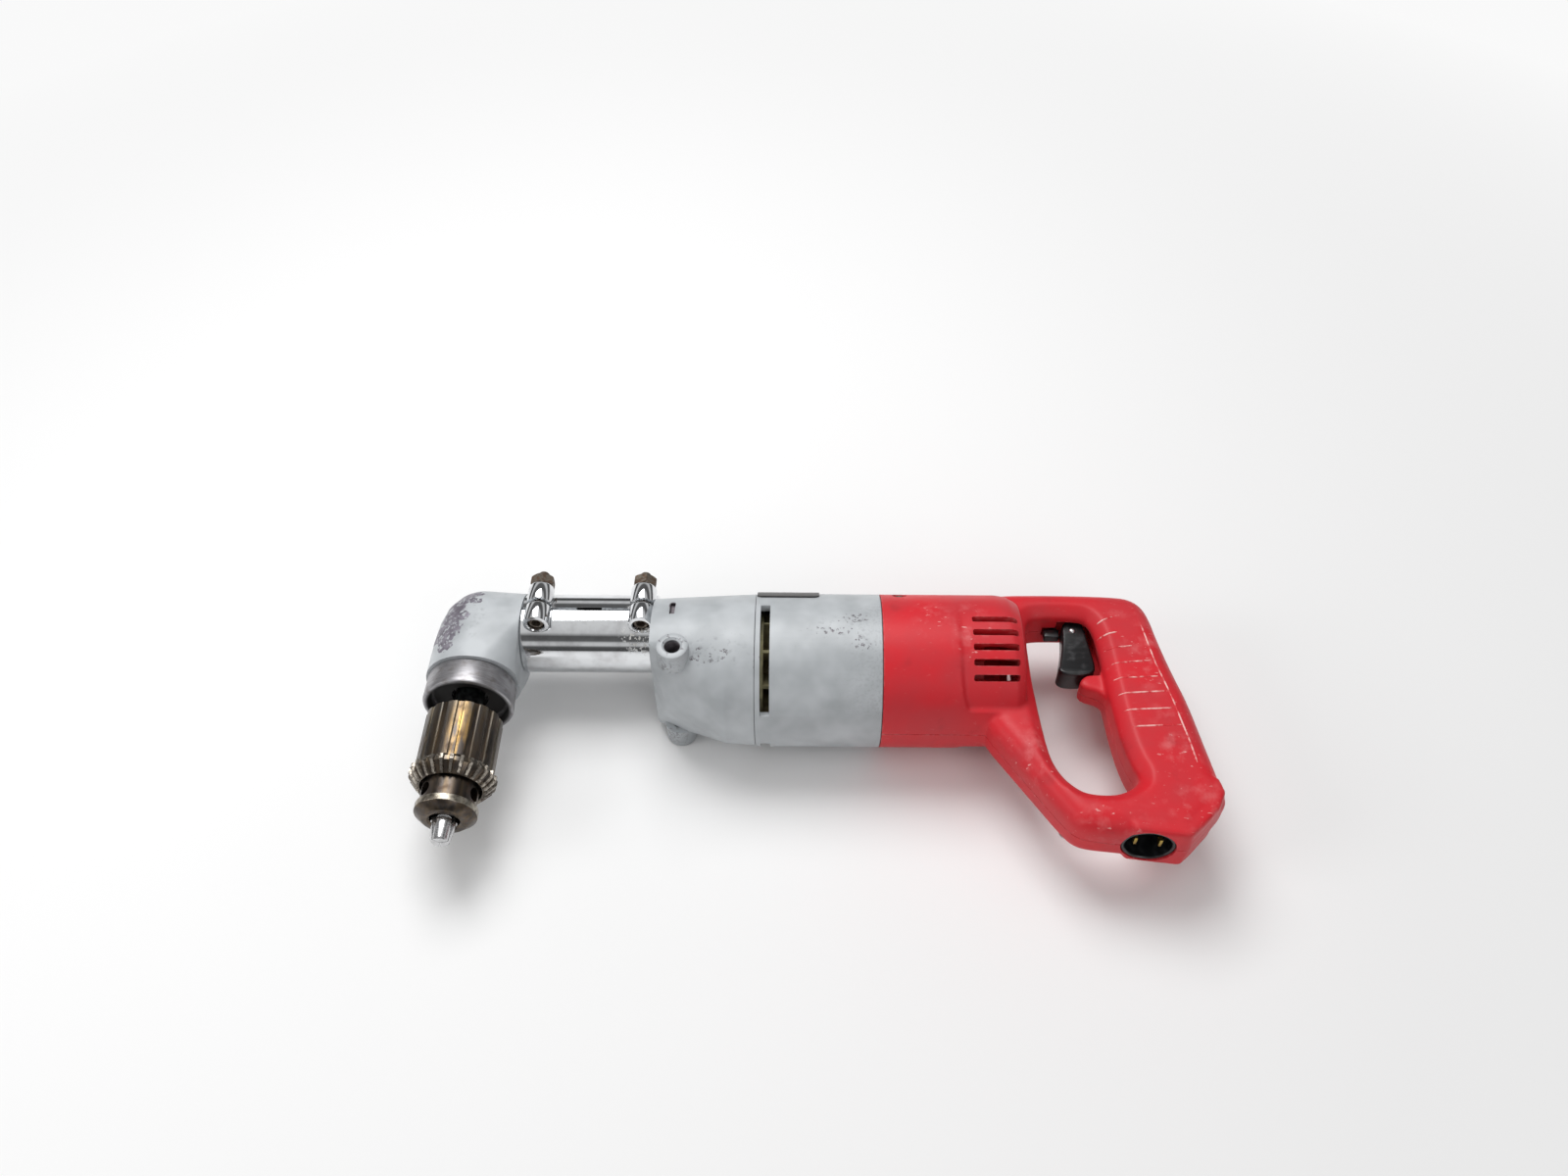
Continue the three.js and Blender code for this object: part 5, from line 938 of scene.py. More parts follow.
class DRILL_OT_clamp(bpy.types.Operator):
    """Builds the split chrome sleeve with its lugs, socket screws and nuts"""
    bl_idname = "drill.clamp"
    bl_label = "Clamp sleeve"

    def execute(self, context):
        low, high = extent("clamp_sleeve")
        self.lug_radius = 7.5
        self.lug_half = 13.7
        self.nut_start = self.lug_half + 0.3
        self.nut_end = self.nut_start + 7
        places = [middle(f"clamp_screw_{index}").x for index in (1, 2)]
        self.stands = [shift(place, SPINDLE_LIFT, high.z - self.lug_radius) for place in places]
        self.sleeve(low.x, high.x)
        for index in (1, 2):
            self.screw(index, self.stands[index - 1] @ X_TO_Y)
            self.nut(index, self.stands[index - 1] @ X_TO_Y)
        return {"FINISHED"}

    def sleeve(self, start, end):
        """A polished tube split along its top, with a pair of turned lugs at each end."""
        radius, slot, edge = SLEEVE_RADIUS, 1.1, 0.5
        inside = radius - 2.5
        tube = as_object("chrome_sleeve", moved(lathe([
            (start, inside + edge), (start, radius - edge), (start + edge, radius), (end - edge, radius),
            (end, radius - edge), (end, inside + edge), (end - edge, inside), (start + edge, inside)], 160),
            TO_SPINDLE))
        carve(tube, "DIFFERENCE", box((start - OVERRUN, SPINDLE_LIFT - slot, 0),
                                      (end + OVERRUN, SPINDLE_LIFT + slot, 2 * radius)))
        rim, face = self.lug_radius, self.lug_half
        # The near lug holds the screw's head in a wider bore, and the far one lets its thread through
        for stand in self.stands:
            for side, bore, seat in ((-1, 4.75, [(face - 8.4, 4.75), (face - 8.4, 3.4)]), (1, 3.4, [])):
                profile = [(slot, 3.4), (slot, rim - 0.9), (slot + 0.35, rim - 0.2), (slot + 0.9, rim),
                           (face - 1.1, rim), (face - 0.35, rim - 0.35), (face, rim - 1.1),
                           (face, bore + 0.5), (face - 0.5, bore)] + seat
                lug = as_object("lug", moved(lathe(profile, 64), turn(side * math.pi / 2, "Z"), stand))
                clear = rod(start - OVERRUN, end + OVERRUN, inside, 160)
                join(tube, carve(lug, "DIFFERENCE", moved(clear, TO_SPINDLE)))
        place_piece(tube, "bright chrome plate", "housing", ["clamp_sleeve"], 28.0)

    def screw(self, index, stand):
        """A socket head screw sunk in the front lug, its thread's end standing out past the nut."""
        head = -self.lug_half + 1.6
        tail = self.nut_end + 4
        profile = [(head, 0), (head, 3.7), (head + 0.5, 4.3), (head + 6.4, 4.4), (head + 6.4, 3.0),
                   (self.lug_half, 3.0)] + threaded(self.lug_half, tail, 3.1) + [(tail, 0)]
        screw = as_object(f"socket_screw_{index}", lathe(profile, 48))
        carve(screw, "DIFFERENCE", rod(head - 1, head + 3.6, 2.9, 6))
        screw.data.transform(stand)
        place_piece(screw, "rusted fastener steel", "housing", [f"clamp_screw_{index}"], 25.0)

    def nut(self, index, stand):
        """A hexagon nut with chamfered corners."""
        start, end = self.nut_start, self.nut_end
        flat = 12.7 / 2
        corner = 12.7 / math.sqrt(3)
        nut = as_object(f"hexagon_nut_{index}", moved(rod(start, end, corner, 6),
                                                      turn(math.pi / 6 + 0.2 * (index - 1), "X")))
        blunt = lathe([(start, 0), (start, flat - 0.4), (start + 1.1, corner + 0.1),
                       (end - 1.1, corner + 0.1), (end, flat - 0.4), (end, 0)], 64)
        carve(nut, "INTERSECT", blunt)
        carve(nut, "DIFFERENCE", rod(start - 1, end + 1, 3.4, 40))
        nut.data.transform(stand)
        place_piece(nut, "rusted fastener steel", "housing", [f"clamp_nut_{index}"], 25.0)


# Gearcase


class DRILL_OT_gearcase(bpy.types.Operator):
    """Builds the gearcase casting with its threaded bosses and slot"""
    bl_idname = "drill.gearcase"
    bl_label = "Gearcase"

    def execute(self, context):
        whole = extent("gearcase")
        front = extent("clamp_sleeve")[1].x + GAP
        end = whole[1].x
        case = soften(as_object("gearcase_casting", hull(self.points(front, end))), 0.8, 2)
        reach = 60.0
        carve(case, "INTERSECT", box((front, -reach, -reach), (end, reach, reach)))
        case = chamfered(case, 0.4, 60.0)
        # The two threaded holes are on one line, below the motor's
        spots = [(side, shift(front + 13.6, -16, 0)) for side in (1, -1)]
        carve(case, "UNION", *[self.boss(side, at, whole[1].z) for side, at in spots])
        carve(case, "DIFFERENCE", *[self.thread(side, at, whole[1].z) for side, at in spots])
        carve(case, "DIFFERENCE", box((front + 9.9, 9.0, 34.0), (front + 12.9, 20.0, 46.0)),
              rod(end - 1.0, end + 1, 38.8))
        spigot = whole[0].x
        tube = lathe([(spigot, 12.9), (spigot, 20.3), (front + 1, 20.3), (front + 1, 12.9)])
        join(case, as_object("spigot", moved(tube, TO_SPINDLE)))
        look = "sprayed enamel with chips on cast metal"
        place_piece(case, look, "housing", ["gearcase"], 32.0)
        return {"FINISHED"}

    def points(self, front, end):
        """Rings of a flat-sided case that swells to the motor, with a nose round the spindle."""
        length = end - front
        half = math.pi / 2 + math.asin(0.24)
        spare = 3.0
        points = []
        for x, main, nose in ((front - spare, 40.45, 20.85), (front, 40.6, 20.9),
                              (front + 0.27 * length, 41.44, 21.9)):
            points += ring_along(x, 0, main, 64, -half, half)
            points += ring_along(x, SPINDLE_LIFT, nose)
        points += ring_along(front + length * 0.14, 0, 26.0)
        for x, radius in ((front + length * 0.72, 42.83), (end, 43.7), (end + spare, 43.75)):
            points += ring_along(x, 0, radius, 96)
        return points

    def boss(self, side, at, face):
        """A round seat round a threaded hole, its rim rolled."""
        profile = [(face - 14, 0), (face - 14, 9.0), (face - 1.2, 8.9), (face - 0.45, 8.65), (face, 7.9),
                   (face, 0)]
        return moved(lathe(profile, 64), turn(-side * math.pi / 2, "Y"), at)

    def thread(self, side, at, face):
        """The threaded hole, with a lead-in chamfer."""
        floor = face - 15
        profile = [(floor, 0)] + threaded(floor, face - 1.2, 5.0, 1.6, 0.6)
        profile += [(face + 0.2, 5.9), (face + 2, 5.9), (face + 2, 0)]
        return moved(lathe(profile, 48), turn(-side * math.pi / 2, "Y"), at)


# Motor housing and its bare plate


def arc_block(start, end, inner, outer, low, high, steps=24):
    """A curved block about X between two angles."""
    angles = [low + (high - low) * i / steps for i in range(steps + 1)]
    outline = [polar(0, outer, a)[1:] for a in angles] + [polar(0, inner, a)[1:] for a in reversed(angles)]
    to_line = Matrix(((0, 0, 1, 0), (1, 0, 0, 0), (0, 1, 0, 0), (0, 0, 0, 1)))
    return moved(prism(outline, start, end), to_line)


class DRILL_OT_motor_housing(bpy.types.Operator):
    """Builds the round motor housing, its exhaust slots and the bare plate"""
    bl_idname = "drill.motor_housing"
    bl_label = "Motor housing"

    def execute(self, context):
        low, high = extent("motor_housing")
        start, end, radius = low.x, high.x, SHELL_RADIUS
        inside = radius - 4.0
        profile = [(start, inside), (start, radius - 0.5), (start + 0.4, radius - 0.1), (start + 2.2, radius),
                   (end - 0.5, radius), (end, radius - 0.5), (end, inside)]
        housing = as_object("motor_shell", lathe(profile, 180))
        for side in (1, -1):
            ends = sorted(side * math.radians(90 + angle) for angle in (-19, 72))
            carve(housing, "DIFFERENCE", arc_block(start + 2.9, start + 8.2, radius - 6, radius + 2, *ends))
        chamfered(housing, 0.35, 50.0)
        look = "sprayed enamel with scuffs on cast metal"
        place_piece(housing, look, "housing", ["motor_housing"], 28.0)
        self.plate()
        return {"FINISHED"}

    def plate(self):
        """A thin bare plate, curved to the housing, with rounded corners."""
        low, high = extent("data_plate")
        inner, outer = SHELL_RADIUS + 0.1, high.y
        half = math.asin(high.z / outer) * outer
        flat = prism(rounded_corners(low.x, -half, high.x, half, 3.0), 0, outer - inner)
        rows = [half * (i / 6 - 1) for i in range(1, 12)]
        bent = reshaped(flat, rows, lambda x, y, z: polar(x, inner + z, y / outer))
        place_piece(as_object("bare_plate", bent), "black painted sheet metal", "housing",
                    ["data_plate"], 40.0)


def rounded_corners(x0, y0, x1, y1, radius, steps=6):
    """A rectangle's outline with round corners."""
    points = []
    for cx, cy, start in ((x1 - radius, y1 - radius, 0), (x0 + radius, y1 - radius, 90),
                          (x0 + radius, y0 + radius, 180), (x1 - radius, y0 + radius, 270)):
        for i in range(steps + 1):
            angle = math.radians(start + 90 * i / steps)
            points.append((cx + radius * math.cos(angle), cy + radius * math.sin(angle)))
    return points


# Handle


GRIP_OUTLINE = [
    (290, 36), (294, 45), (306, 48.2), (330, 48.6), (354, 48.4), (374, 47.6), (383.5, 46),
    (390.5, 40.5), (394, 31.5), (396, 16), (400.5, -8), (405.5, -28.5), (409, -54), (411.8, -73),
    (413.9, -88), (413.9, -91.6), (412.6, -93.6), (393.2, -113.2), (391, -115), (388.4, -115),
    (357, -111.6), (341, -109.9), (334, -107.5), (328.5, -102), (308, -70), (288, -39), (284, -10),
    (284, 20),
]
OPENING_OUTLINE = [
    (320, 20), (321.2, 27.6), (327, 29.9), (350, 29.9), (356.4, 27.2), (359.2, 18), (360.2, 4),
    (361, -12), (362.2, -34), (364, -56), (367, -70), (370, -77), (368.6, -81.6), (362.6, -86),
    (356, -88.3), (347.5, -88.4), (339, -87), (331.6, -80.6), (326.8, -73), (323.7, -63), (321.6, -42),
    (319.9, -17), (319.6, 4),
]
HOOK_OUTLINE = [
    (368, -3), (358, -5.6), (352, -7.6), (348.4, -10.4), (347.6, -14), (350.6, -17.4), (356, -18.6),
    (360.4, -22), (363, -29), (368, -36),
]
FOOT_OUTLINE = [
    (353, -110.6), (388.4, -115), (391.4, -114.8), (413.7, -92.4), (410, -76), (392, -80), (374, -90),
]
PANEL_OUTLINE = [
    (277.4, 23), (276.6, 10), (276.6, -14), (277.6, -33), (281, -40), (288, -44), (312, -46.5),
    (330, -46.5), (330, 23),
]
RIB_LINES = [
    ((361.0, 23.5), (370.5, 27.5)), ((360.4, 13.8), (371.6, 16.3)), ((362.6, 4.2), (378.6, 6.4)),
    ((364.6, -6.2), (387.8, -4.0)), ((364.2, -16.6), (390.0, -15.0)), ((365.0, -27.0), (394.6, -25.0)),
    ((366.2, -38.0), (396.0, -36.4)), ((367.6, -49.0), (397.6, -47.4)),
]
CREASE_LINE = [(385.6, 24), (389.6, -6), (394.4, -28), (399.0, -58), (400.6, -72)]


class DRILL_OT_handle(bpy.types.Operator):
    """Builds the two red handle halves with vents, grip lines and screws"""
    bl_idname = "drill.handle"
    bl_label = "Handle"

    def execute(self, context):
        sizes = context.scene.drill_handle
        self.half = extent("handle_upper_half")[1]
        form = self.form(sizes)
        self.lines(form, sizes)
        self.openings(form, sizes)
        for name, sign, node in (("handle_shell_upper", 1, "handle_upper_half"),
                                 ("handle_shell_lower", -1, "handle_lower_half")):
            self.shell(form, name, sign, node)
        bpy.data.objects.remove(form)
        self.screws()
        return {"FINISHED"}

    def form(self, sizes):
        """Barrel and grip as one smooth form, with the vent panel sunk in its sides."""
        start = extent("handle_upper_half")[0].x
        # The barrel runs straight for 66 mm, and its end is domed over the last 19.7 mm
        straight, dome, radius = start + 66, 19.7, SHELL_RADIUS
        profile = [(start - 3.0, 0), (start - 3.0, radius), (straight, radius)]
        for share in (0.2, 0.4, 0.6, 0.75, 0.87, 0.95, 1.0):
            angle = share * math.pi / 2
            height = 0.42 + 0.58 * math.cos(angle) ** 0.8
            profile.append((straight + dome * math.sin(angle), radius * height))
        profile.append((straight + dome, 0))
        form = as_object("handle_form", lathe(profile, 128))
        grip = as_object("grip", rounded_plate(corner_cut(GRIP_OUTLINE), GRIP_HALF, sizes.edge, 6))
        carve(form, "UNION", soften(grip, 0.9, 1))
        carve(form, "DIFFERENCE", self.flared(corner_cut(OPENING_OUTLINE), 60.0, GRIP_HALF, 7.0))
        carve(form, "UNION", rounded_plate(corner_cut(HOOK_OUTLINE), 8.5, 2.4),
              rounded_plate(corner_cut(FOOT_OUTLINE, 1), 16.7, 2.5))
        depth = GRIP_HALF + 0.2
        for low, high in ((depth, 60), (-60, -depth)):
            panel = as_object("panel", prism(corner_cut(PANEL_OUTLINE), low, high))
            carve(panel, "DIFFERENCE", moved(rod(200, 360, radius - 0.7, 128), shift(0, 1.5, 0)))
            carve(form, "DIFFERENCE", panel)
        soften(form, 0.9, 12)
        reach = 200.0
        return carve(form, "INTERSECT", box((start, -reach, -reach), (start + 2 * reach, reach, reach)))

    def flared(self, outline, reach, half, flare):
        """The hand opening's cutter, wider at both faces so that its edge is round."""
        rises = [math.sin(math.pi / 2 * i / 6) for i in range(7)]
        grow = [(-reach, flare)] + [(-half + flare * rise, flare * (1 - rise) ** 1.6) for rise in rises]
        rings = grow + [(-z, amount) for z, amount in reversed(grow)]
        mesh = skin([[(x, y, z) for x, y in pushed(outline, amount)] for z, amount in rings])
        bmesh.ops.triangulate(mesh, faces=[f for f in mesh.faces if len(f.verts) > 4])
        return mesh

    def lines(self, form, sizes):
        """Thin raised lines laid over the grip on both sides, and a longer one down its back."""
        mesh = bmesh.new()
        mesh.from_mesh(form.data)
        tree = BVHTree.FromBMesh(mesh)
        mesh.free()
        tubes = []
        for side in (1, -1):
            for route in (*RIB_LINES, CREASE_LINE):
                points = []
                for (ax, ay), (bx, by) in zip(route, route[1:]):
                    shares = [i / 12 for i in range(12)]
                    points += [(ax + (bx - ax) * share, ay + (by - ay) * share) for share in shares]
                points.append(route[-1])
                hits = [tree.ray_cast(Vector((x, y, side * 60)), Vector((0, 0, -side)))[0] for x, y in points]
                hits = [hit for hit in hits if hit is not None and abs(hit.z) > 4]
                if len(hits) > 3:
                    tubes.append(self.tube(hits, sizes.rib_height, side))
        ribs = join(*tubes)
        ribs.name = "grip_lines"
        place_piece(ribs, "moulded red nylon rubbed pale", "housing", smooth=60.0)

    def tube(self, points, radius, side):
        """A thin round line through points, tapering at its ends and half sunk in the surface."""
        last = len(points) - 1
        angles = [2 * math.pi * i / 8 for i in range(8)]
        rows = []
        for i, point in enumerate(points):
            ahead = (points[min(i + 1, last)] - points[max(i - 1, 0)]).normalized()
            across = ahead.cross(Vector((0, 0, 1))).normalized()
            up = across.cross(ahead)
            thick = radius * min(1.0, 0.25 + 0.45 * min(i, last - i))
            sunk = point - Vector((0, 0, side * radius * 0.35))
            rows.append([sunk + across * thick * math.cos(a) + up * thick * math.sin(a) for a in angles])
        return as_object("line", skin(rows))

    def openings(self, form, sizes):
        """Hollows behind the vents, then the vents, the trigger's room, the inlet and the screw holes."""
        start = extent("handle_upper_half")[0].x
        carve(form, "DIFFERENCE",
              lathe([(start - 1, 0), (start - 1, 40.3), (start + 40, 40.3), (start + 44, 38),
                     (start + 49, 38), (start + 49, 0)]),
              lathe([(start + 56.5, 0), (start + 56.5, 37.6), (start + 66, 37.2), (start + 75, 33),
                     (start + 79, 24), (start + 79, 0)]),
              rod(start + 48, start + 58, 11.3, 48))
        pitch, first = math.radians(11.7), math.radians(84.5)
        rise = sizes.vent_height / 2
        for side in (1, -1):
            slot = moved(prism(rounded_corners(284.0, -rise, 309.4, rise, 1.2, 4), 30, 60),
                         turn(first - math.pi / 2, "X"), Matrix.Diagonal((1, 1, side, 1)))
            bmesh.ops.recalc_face_normals(slot, faces=slot.faces)
            carve(form, "DIFFERENCE", repeated("vents", slot, "moulded red nylon", sizes.vents, side * pitch))
        low, high = extent("trigger")
        room = prism([(low.x - 1.2, low.y + 14), (low.x + 3, high.y + 4), (high.x + 2.2, high.y + 4),
                      (high.x + 7, 4), (high.x + 5, -8.6), (low.x + 8, -8.6)], -8.8, 8.8)
        low, high = extent("reverse_lever")
        carve(form, "DIFFERENCE", room, box((low.x - 0.6, 28, -3.4), (high.x + 0.6, high.y + 0.4, 3.4)),
              moved(rod(-30, 18.3, 14.3, 64), inlet_matrix()))
        for index in (1, 2):
            pocket = lathe([(-9.4, 0), (-9.4, 2.2), (-3.9, 2.2), (-3.9, 4.3), (6, 4.3), (6, 0)], 40)
            carve(form, "DIFFERENCE", moved(pocket, seam_matrix(index)))
        for index in (1, 2, 3):
            low, high = extent(f"handle_screw_{index}")
            seat, end = low.z + 3.2, high.z + 0.5
            pocket = lathe([(-22, 0), (-22, 4.1), (seat, 4.1), (seat, 2.3), (end, 2.3), (end, 0)], 40)
            at = middle(f"handle_screw_{index}")
            carve(form, "DIFFERENCE", moved(pocket, X_TO_Z, shift(at.x, at.y, 0)))

    def shell(self, form, name, sign, node):
        """One half of the form, cut just short of the parting plane."""
        half = linked(name, form.data.copy())
        reach, gap = 300.0, 0.2
        keep = box((0, -reach, gap if sign > 0 else -reach), (2 * reach, reach, reach if sign > 0 else -gap))
        carve(half, "INTERSECT", keep)
        place_piece(half, "moulded red nylon", "housing", [node], 34.0)

    def screws(self):
        """Round head screws with a slot: two rusty ones in the seam, three along the low side."""
        for index in (1, 2):
            screw = self.screw(f"seam_round_screw_{index}", 3.9, 3.6, 1.9, 8.0)
            screw.data.transform(seam_matrix(index))
            place_piece(screw, "rusted fastener steel", "housing", [f"seam_screw_{index}"])
        for index in (1, 2, 3):
            node = f"handle_screw_{index}"
            at = middle(node)
            screw = self.screw(f"handle_round_screw_{index}", 3.6, 2.4, 2.0, 25.6)
            screw.data.transform(shift(at.x, at.y, extent(node)[0].z) @ turn(math.pi / 2, "Y"))
            place_piece(screw, "ground bearing steel", "housing", [node])

    def screw(self, name, radius, head, shank, length):
        """A slotted round head screw about X, its head at the start, pointing back along the line."""
        profile = [(-length, 0), (-length, shank), (-head, shank), (-head, radius),
                   (-head * 0.45, radius * 0.97), (-head * 0.15, radius * 0.75), (0, radius * 0.35), (0, 0)]
        made = as_object(name, lathe(profile, 40))
        carve(made, "DIFFERENCE", box((-1.1, -radius - 1, -0.45), (1, radius + 1, 0.45)))
        return made


def pushed(outline, amount):
    """An outline moved outwards by an amount."""
    area = sum(ax * by - bx * ay for (ax, ay), (bx, by) in zip(outline, outline[1:] + outline[:1]))
    out = math.copysign(amount, area)
    result = []
    for i, (x, y) in enumerate(outline):
        along = (Vector(outline[(i + 1) % len(outline)]) - Vector(outline[i - 1])).normalized()
        result.append((x + out * along.y, y - out * along.x))
    return result


def seam_matrix(index):
    """From a screw's own line, whose head lies at 0, to a seam screw's place on the barrel."""
    angle = math.radians(48 if index == 1 else -48)
    at = polar(middle(f"seam_screw_{index}").x, SHELL_RADIUS - 0.3, angle)
    return shift(*at) @ turn(angle, "X") @ X_TO_Y


def inlet_matrix():
    """From a piece's own line to the power inlet, which leans from the upright, its mouth at 0."""
    lean = math.radians(5.4)
    mouth = middle("inlet_socket") - Vector((math.sin(lean), math.cos(lean), 0)) * 9.0
    return shift(*mouth) @ turn(math.pi / 2 - lean, "Z")


# Trigger, reverse lever and power inlet


TRIGGER_OUTLINE = [
    (-4.6, 6.4), (-5.6, -6.5), (-7.0, -15), (-9.2, -24), (-10.3, -29), (-9.6, -32.4), (-5.4, -34.5),
    (3.0, -34.5), (8.6, -32.8), (10.7, -28), (9.4, -12), (8.0, -2), (7.0, 6.4),
]


class DRILL_OT_controls(bpy.types.Operator):
    """Builds the flared trigger, the reverse lever and the power inlet"""
    bl_idname = "drill.controls"
    bl_label = "Controls"

    def execute(self, context):
        self.trigger()
        self.lever()
        self.inlet()
        return {"FINISHED"}

    def trigger(self):
        """A waisted body that flares to a rounded lip, with its pivot rivet."""
        def lipped(x, y, z):
            """A point of the plate, flared towards the lip."""
            share = min(1.0, max(0.0, (-y - 12) / 20))
            lip = 0.9 * min(1.0, (-y - 27) / 3) if y < -27 and x < 6 else 0.0
            return x - lip, y, z * (1 + 0.28 * share ** 1.5)

        pivot = (Vector(JOINTS["trigger_pull"]["pos_m"]) - ORIGIN) / MM
        rows = [-34 + 2.0 * i for i in range(19)]
        plate = rounded_plate(corner_cut(TRIGGER_OUTLINE), 6.0, 1.5)
        body = as_object("trigger_body", reshaped(plate, rows, lipped))
        head = lathe([(5.6, 0), (5.6, 1.9), (6.3, 1.9), (6.8, 1.4), (7.0, 0.6), (7.0, 0)], 32)
        join(body, as_object("pin", moved(rod(-5.8, 5.8, 1.5, 32), X_TO_Z)))
        dome = as_object("trigger_rivet", moved(head, X_TO_Z, shift(0.6, -1.4, 0)))
        for piece in (body, dome):
            piece.data.transform(shift(*pivot))
        place_piece(body, "moulded black phenolic", "trigger", ["trigger"], 45.0)
        place_piece(dome, "ground bearing steel", "trigger", smooth=45.0)

    def lever(self):
        """A small thumb lever on its stem, just ahead of the trigger."""
        pivot = (Vector(JOINTS["reverse_lever_swing"]["pos_m"]) - ORIGIN) / MM
        low, high = (corner - pivot for corner in extent("reverse_lever"))
        arm = as_object("reverse_thumb", box((low.x, low.y, -2.6), (high.x, 0, 2.6)))
        chamfered(arm, 1.0, 40.0, 3)
        stem = lathe([(-4, 0), (-4, 2.0), (high.y - 0.4, 2.0), (high.y, 1.6), (high.y, 0)], 32)
        join(arm, as_object("stem", moved(stem, X_TO_Y)))
        arm.data.transform(shift(*pivot))
        place_piece(arm, "moulded black phenolic", "reverse_lever", ["reverse_lever"], 45.0)

    def inlet(self):
        """A round recessed socket with two flat blades, 6.5 mm to each side of its line."""
        profile = [(18, 0), (18, 14.0), (0.5, 14.0), (0, 13.6), (0, 12.6), (0.5, 12.2), (13, 12.2), (13, 0)]
        cup = as_object("inlet_cup", lathe(profile, 80))
        for place in (6.5, -6.5):
            carve(cup, "DIFFERENCE", box((-1, place - 1.2, -3.5), (18.5, place + 1.2, 3.5)))
        cup.data.transform(inlet_matrix())
        place_piece(cup, "moulded black phenolic", "housing", ["inlet_socket"], 30.0)
        for index, place in ((1, 6.5), (2, -6.5)):
            blade = box((2.0, place - 0.9, -3.2), (16.2, place + 0.9, 3.2))
            blade = chamfered(as_object(f"inlet_contact_{index}", blade), 0.45)
            blade.data.transform(inlet_matrix())
            place_piece(blade, "drawn brass", "housing", [f"inlet_blade_{index}"])


# Hidden works keep their CAD shapes


class DRILL_OT_works(bpy.types.Operator):
    """Gives every CAD piece that stays its own worked metal or moulding"""
    bl_idname = "drill.works"
    bl_label = "Inner works"

    # The last finish whose words are in a node's name is the node's own
    FINISHES = {
        "ground bearing steel": ("",),
        "cut gear steel under grease": (
            "gear", "pinion", "drill_spindle", "intermediate_shaft", "armature_shaft", "chuck_nut"),
        "stacked lamination steel": ("field_core",),
        "enamelled winding copper": ("field_coil", "armature_core", "commutator"),
        "drawn brass": ("bush", "brush_holder", "inlet_blade"),
        "bare die cast aluminium": ("gear_plate", "bearing_plate"),
        "dusty black moulding": ("cooling_fan",),
        "brown phenolic moulding": ("switch_body",),
        "pressed carbon": ("brush_1", "brush_2"),
    }

    def execute(self, context):
        for name, node in frame["nodes"].items():
            looks = [look for look, words in self.FINISHES.items() if any(word in name for word in words)]
            if not node.hide_render:
                node.data.materials.clear()
                node.data.materials.append(finish(looks[-1]))
        return {"FINISHED"}


# Stage


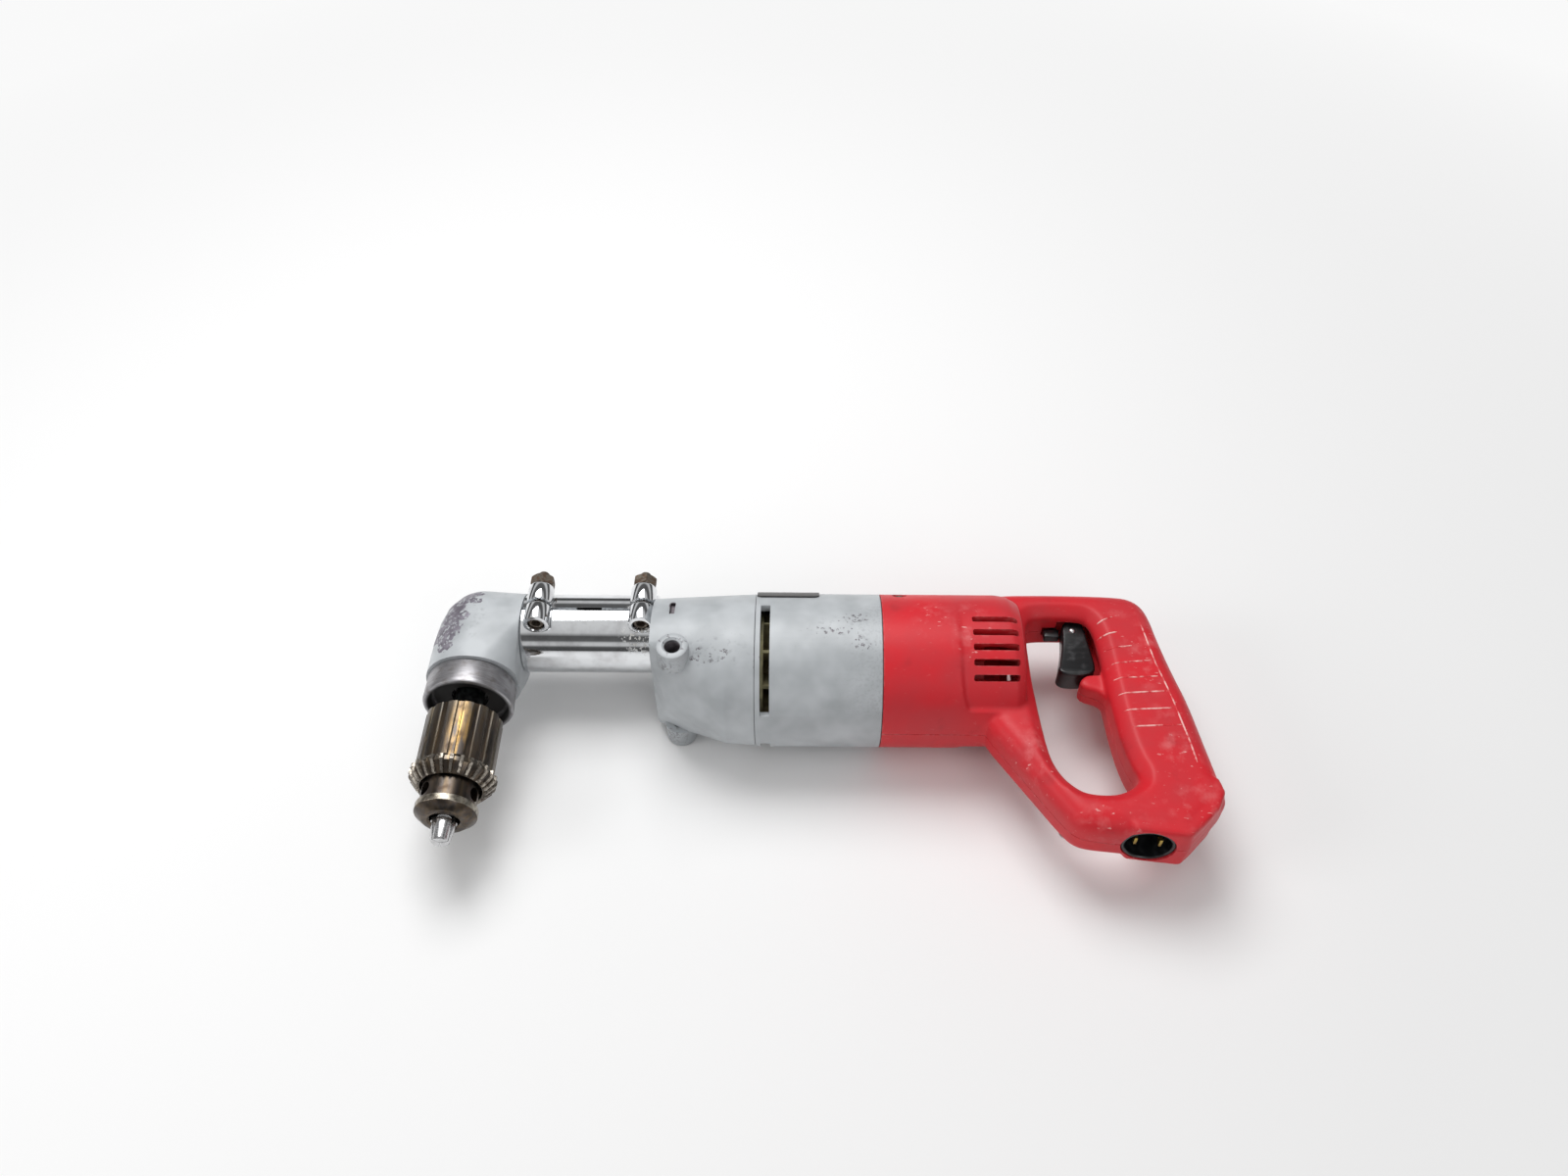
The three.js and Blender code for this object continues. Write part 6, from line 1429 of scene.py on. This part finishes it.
class DRILL_OT_stage(bpy.types.Operator):
    """Lays a pale floor, soft lamps and the camera"""
    bl_idname = "drill.stage"
    bl_label = "Stage"

    def execute(self, context):
        self.floor()
        self.world()
        self.lamps()
        self.camera()
        context.scene.view_settings.view_transform = "Standard"
        return {"FINISHED"}

    def floor(self):
        """A pale matte board that turns to an even white far from the drill."""
        mesh = bmesh.new()
        bmesh.ops.create_circle(mesh, cap_ends=True, segments=96, radius=8.0, matrix=shift(0, 0, -GAP * MM))
        floor = as_object("pale_floor", mesh)
        material, tree, shader, place = new_material("pale matte board")
        shader.inputs["Base Color"].default_value = linear("#ECECEC")
        shader.inputs["Roughness"].default_value = 0.9
        shader.inputs["Specular IOR Level"].default_value = 0.1
        reach = add(tree, "ShaderNodeVectorMath", {0: place}, operation="LENGTH").outputs["Value"]
        far = add(tree, "ShaderNodeMapRange", {"Value": reach, "From Min": 0.35, "From Max": 1.1}).outputs[0]
        seen = add(tree, "ShaderNodeLightPath").outputs["Is Camera Ray"]
        share = add(tree, "ShaderNodeMath", {0: far, 1: seen}, operation="MULTIPLY").outputs[0]
        white = add(tree, "ShaderNodeEmission", {"Color": (1.0, 1.0, 1.0, 1.0), "Strength": 0.95}).outputs[0]
        faded = add(tree, "ShaderNodeMixShader", {0: share, 1: shader.outputs[0], 2: white})
        tree.links.new(faded.outputs[0], tree.nodes["Material Output"].inputs["Surface"])
        floor.data.materials.append(material)

    def world(self):
        """An even pale room, banded by height so that plated metal has something to show."""
        world = bpy.data.worlds.new("pale room")
        bpy.context.scene.world = world
        world.use_nodes = True
        tree = world.node_tree
        way = add(tree, "ShaderNodeTexCoord").outputs["Generated"]
        height = add(tree, "ShaderNodeSeparateXYZ", {0: way}).outputs["Z"]
        bands = add(tree, "ShaderNodeValToRGB", {"Fac": height})
        levels = ((0.0, 0.06), (0.2, 0.1), (0.3, 0.62), (0.42, 0.55), (0.5, 0.12), (0.68, 0.1), (0.8, 0.6),
                  (1.0, 0.7))
        stops = bands.color_ramp.elements
        for at, level in levels[1:-1]:
            stops.new(at)
        for stop, (at, level) in zip(stops, levels):
            stop.position = at
            stop.color = (level, level, level, 1.0)
        seen = add(tree, "ShaderNodeLightPath").outputs["Is Camera Ray"]
        strength = add(tree, "ShaderNodeMix", {"Factor": seen, "A": bands.outputs["Color"], "B": 0.95},
                       data_type="FLOAT")
        background = tree.nodes["Background"].inputs
        background["Color"].default_value = (1.0, 1.0, 1.0, 1.0)
        tree.links.new(strength.outputs[0], background["Strength"])

    def lamps(self):
        """Three soft lamps: above, at the left, and a weak one in front."""
        for name, place, aim, size, power in (
            ("overhead_soft", (-0.25, 0.55, 1.25), (0.0, 0.0, 0.0), 0.8, 13.0),
            ("left_soft", (-1.1, -0.35, 0.7), (0.0, 0.0, 0.04), 0.5, 3.5),
            ("front_fill", (0.7, -1.3, 1.1), (0.0, 0.0, 0.04), 0.7, 4.0),
        ):
            light = bpy.data.lights.new(name, "AREA")
            light.size = size
            light.energy = power
            lamp = linked(name, light)
            lamp.location = place
            lamp.rotation_euler = (Vector(aim) - Vector(place)).to_track_quat("-Z", "Y").to_euler()

    def camera(self):
        """The photograph's own view: its place, its turn about Z, Y and X, and its lens."""
        data = bpy.data.cameras.new("photograph_view")
        data.lens = 29.21
        data.sensor_width = 36.0
        camera = linked("photograph_view", data)
        camera.location = Vector((-4.24, -405.29, 641.44)) * MM
        tilt, lean, roll = -0.696151168, -0.0140496705, -0.00666206626
        seen = turn(roll, "Z") @ turn(lean, "Y") @ turn(tilt, "X")
        camera.rotation_euler = seen.transposed().to_euler()
        bpy.context.scene.camera = camera


class DRILL_PT_panel(bpy.types.Panel):
    bl_label = "Right Angle Drill"
    bl_idname = "DRILL_PT_panel"
    bl_space_type = "VIEW_3D"
    bl_region_type = "UI"
    bl_category = "Drill"

    def draw(self, context):
        scene = context.scene
        for group in (scene.drill_finish, scene.drill_head, scene.drill_chuck, scene.drill_handle):
            for name in group.__annotations__:
                self.layout.prop(group, name)
        for operator in OPERATORS:
            self.layout.operator(operator.bl_idname)


GROUPS = {"drill_finish": DRILL_PG_finish, "drill_head": DRILL_PG_head, "drill_chuck": DRILL_PG_chuck,
          "drill_handle": DRILL_PG_handle}
OPERATORS = (DRILL_OT_stage, DRILL_OT_head, DRILL_OT_chuck, DRILL_OT_clamp, DRILL_OT_gearcase,
             DRILL_OT_motor_housing, DRILL_OT_handle, DRILL_OT_controls, DRILL_OT_works)


def register():
    for kind in (*GROUPS.values(), *OPERATORS, DRILL_PT_panel):
        bpy.utils.register_class(kind)
    for name, kind in GROUPS.items():
        setattr(bpy.types.Scene, name, bpy.props.PointerProperty(type=kind))


def unregister():
    for name in GROUPS:
        delattr(bpy.types.Scene, name)
    for kind in (DRILL_PT_panel, *reversed(OPERATORS), *GROUPS.values()):
        bpy.utils.unregister_class(kind)


def main():
    register()
    bpy.ops.drill.stage()
    bpy.ops.drill.head()
    bpy.ops.drill.chuck()
    bpy.ops.drill.clamp()
    bpy.ops.drill.gearcase()
    bpy.ops.drill.motor_housing()
    bpy.ops.drill.handle()
    bpy.ops.drill.controls()
    bpy.ops.drill.works()
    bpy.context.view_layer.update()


if __name__ == "__main__":
    main()
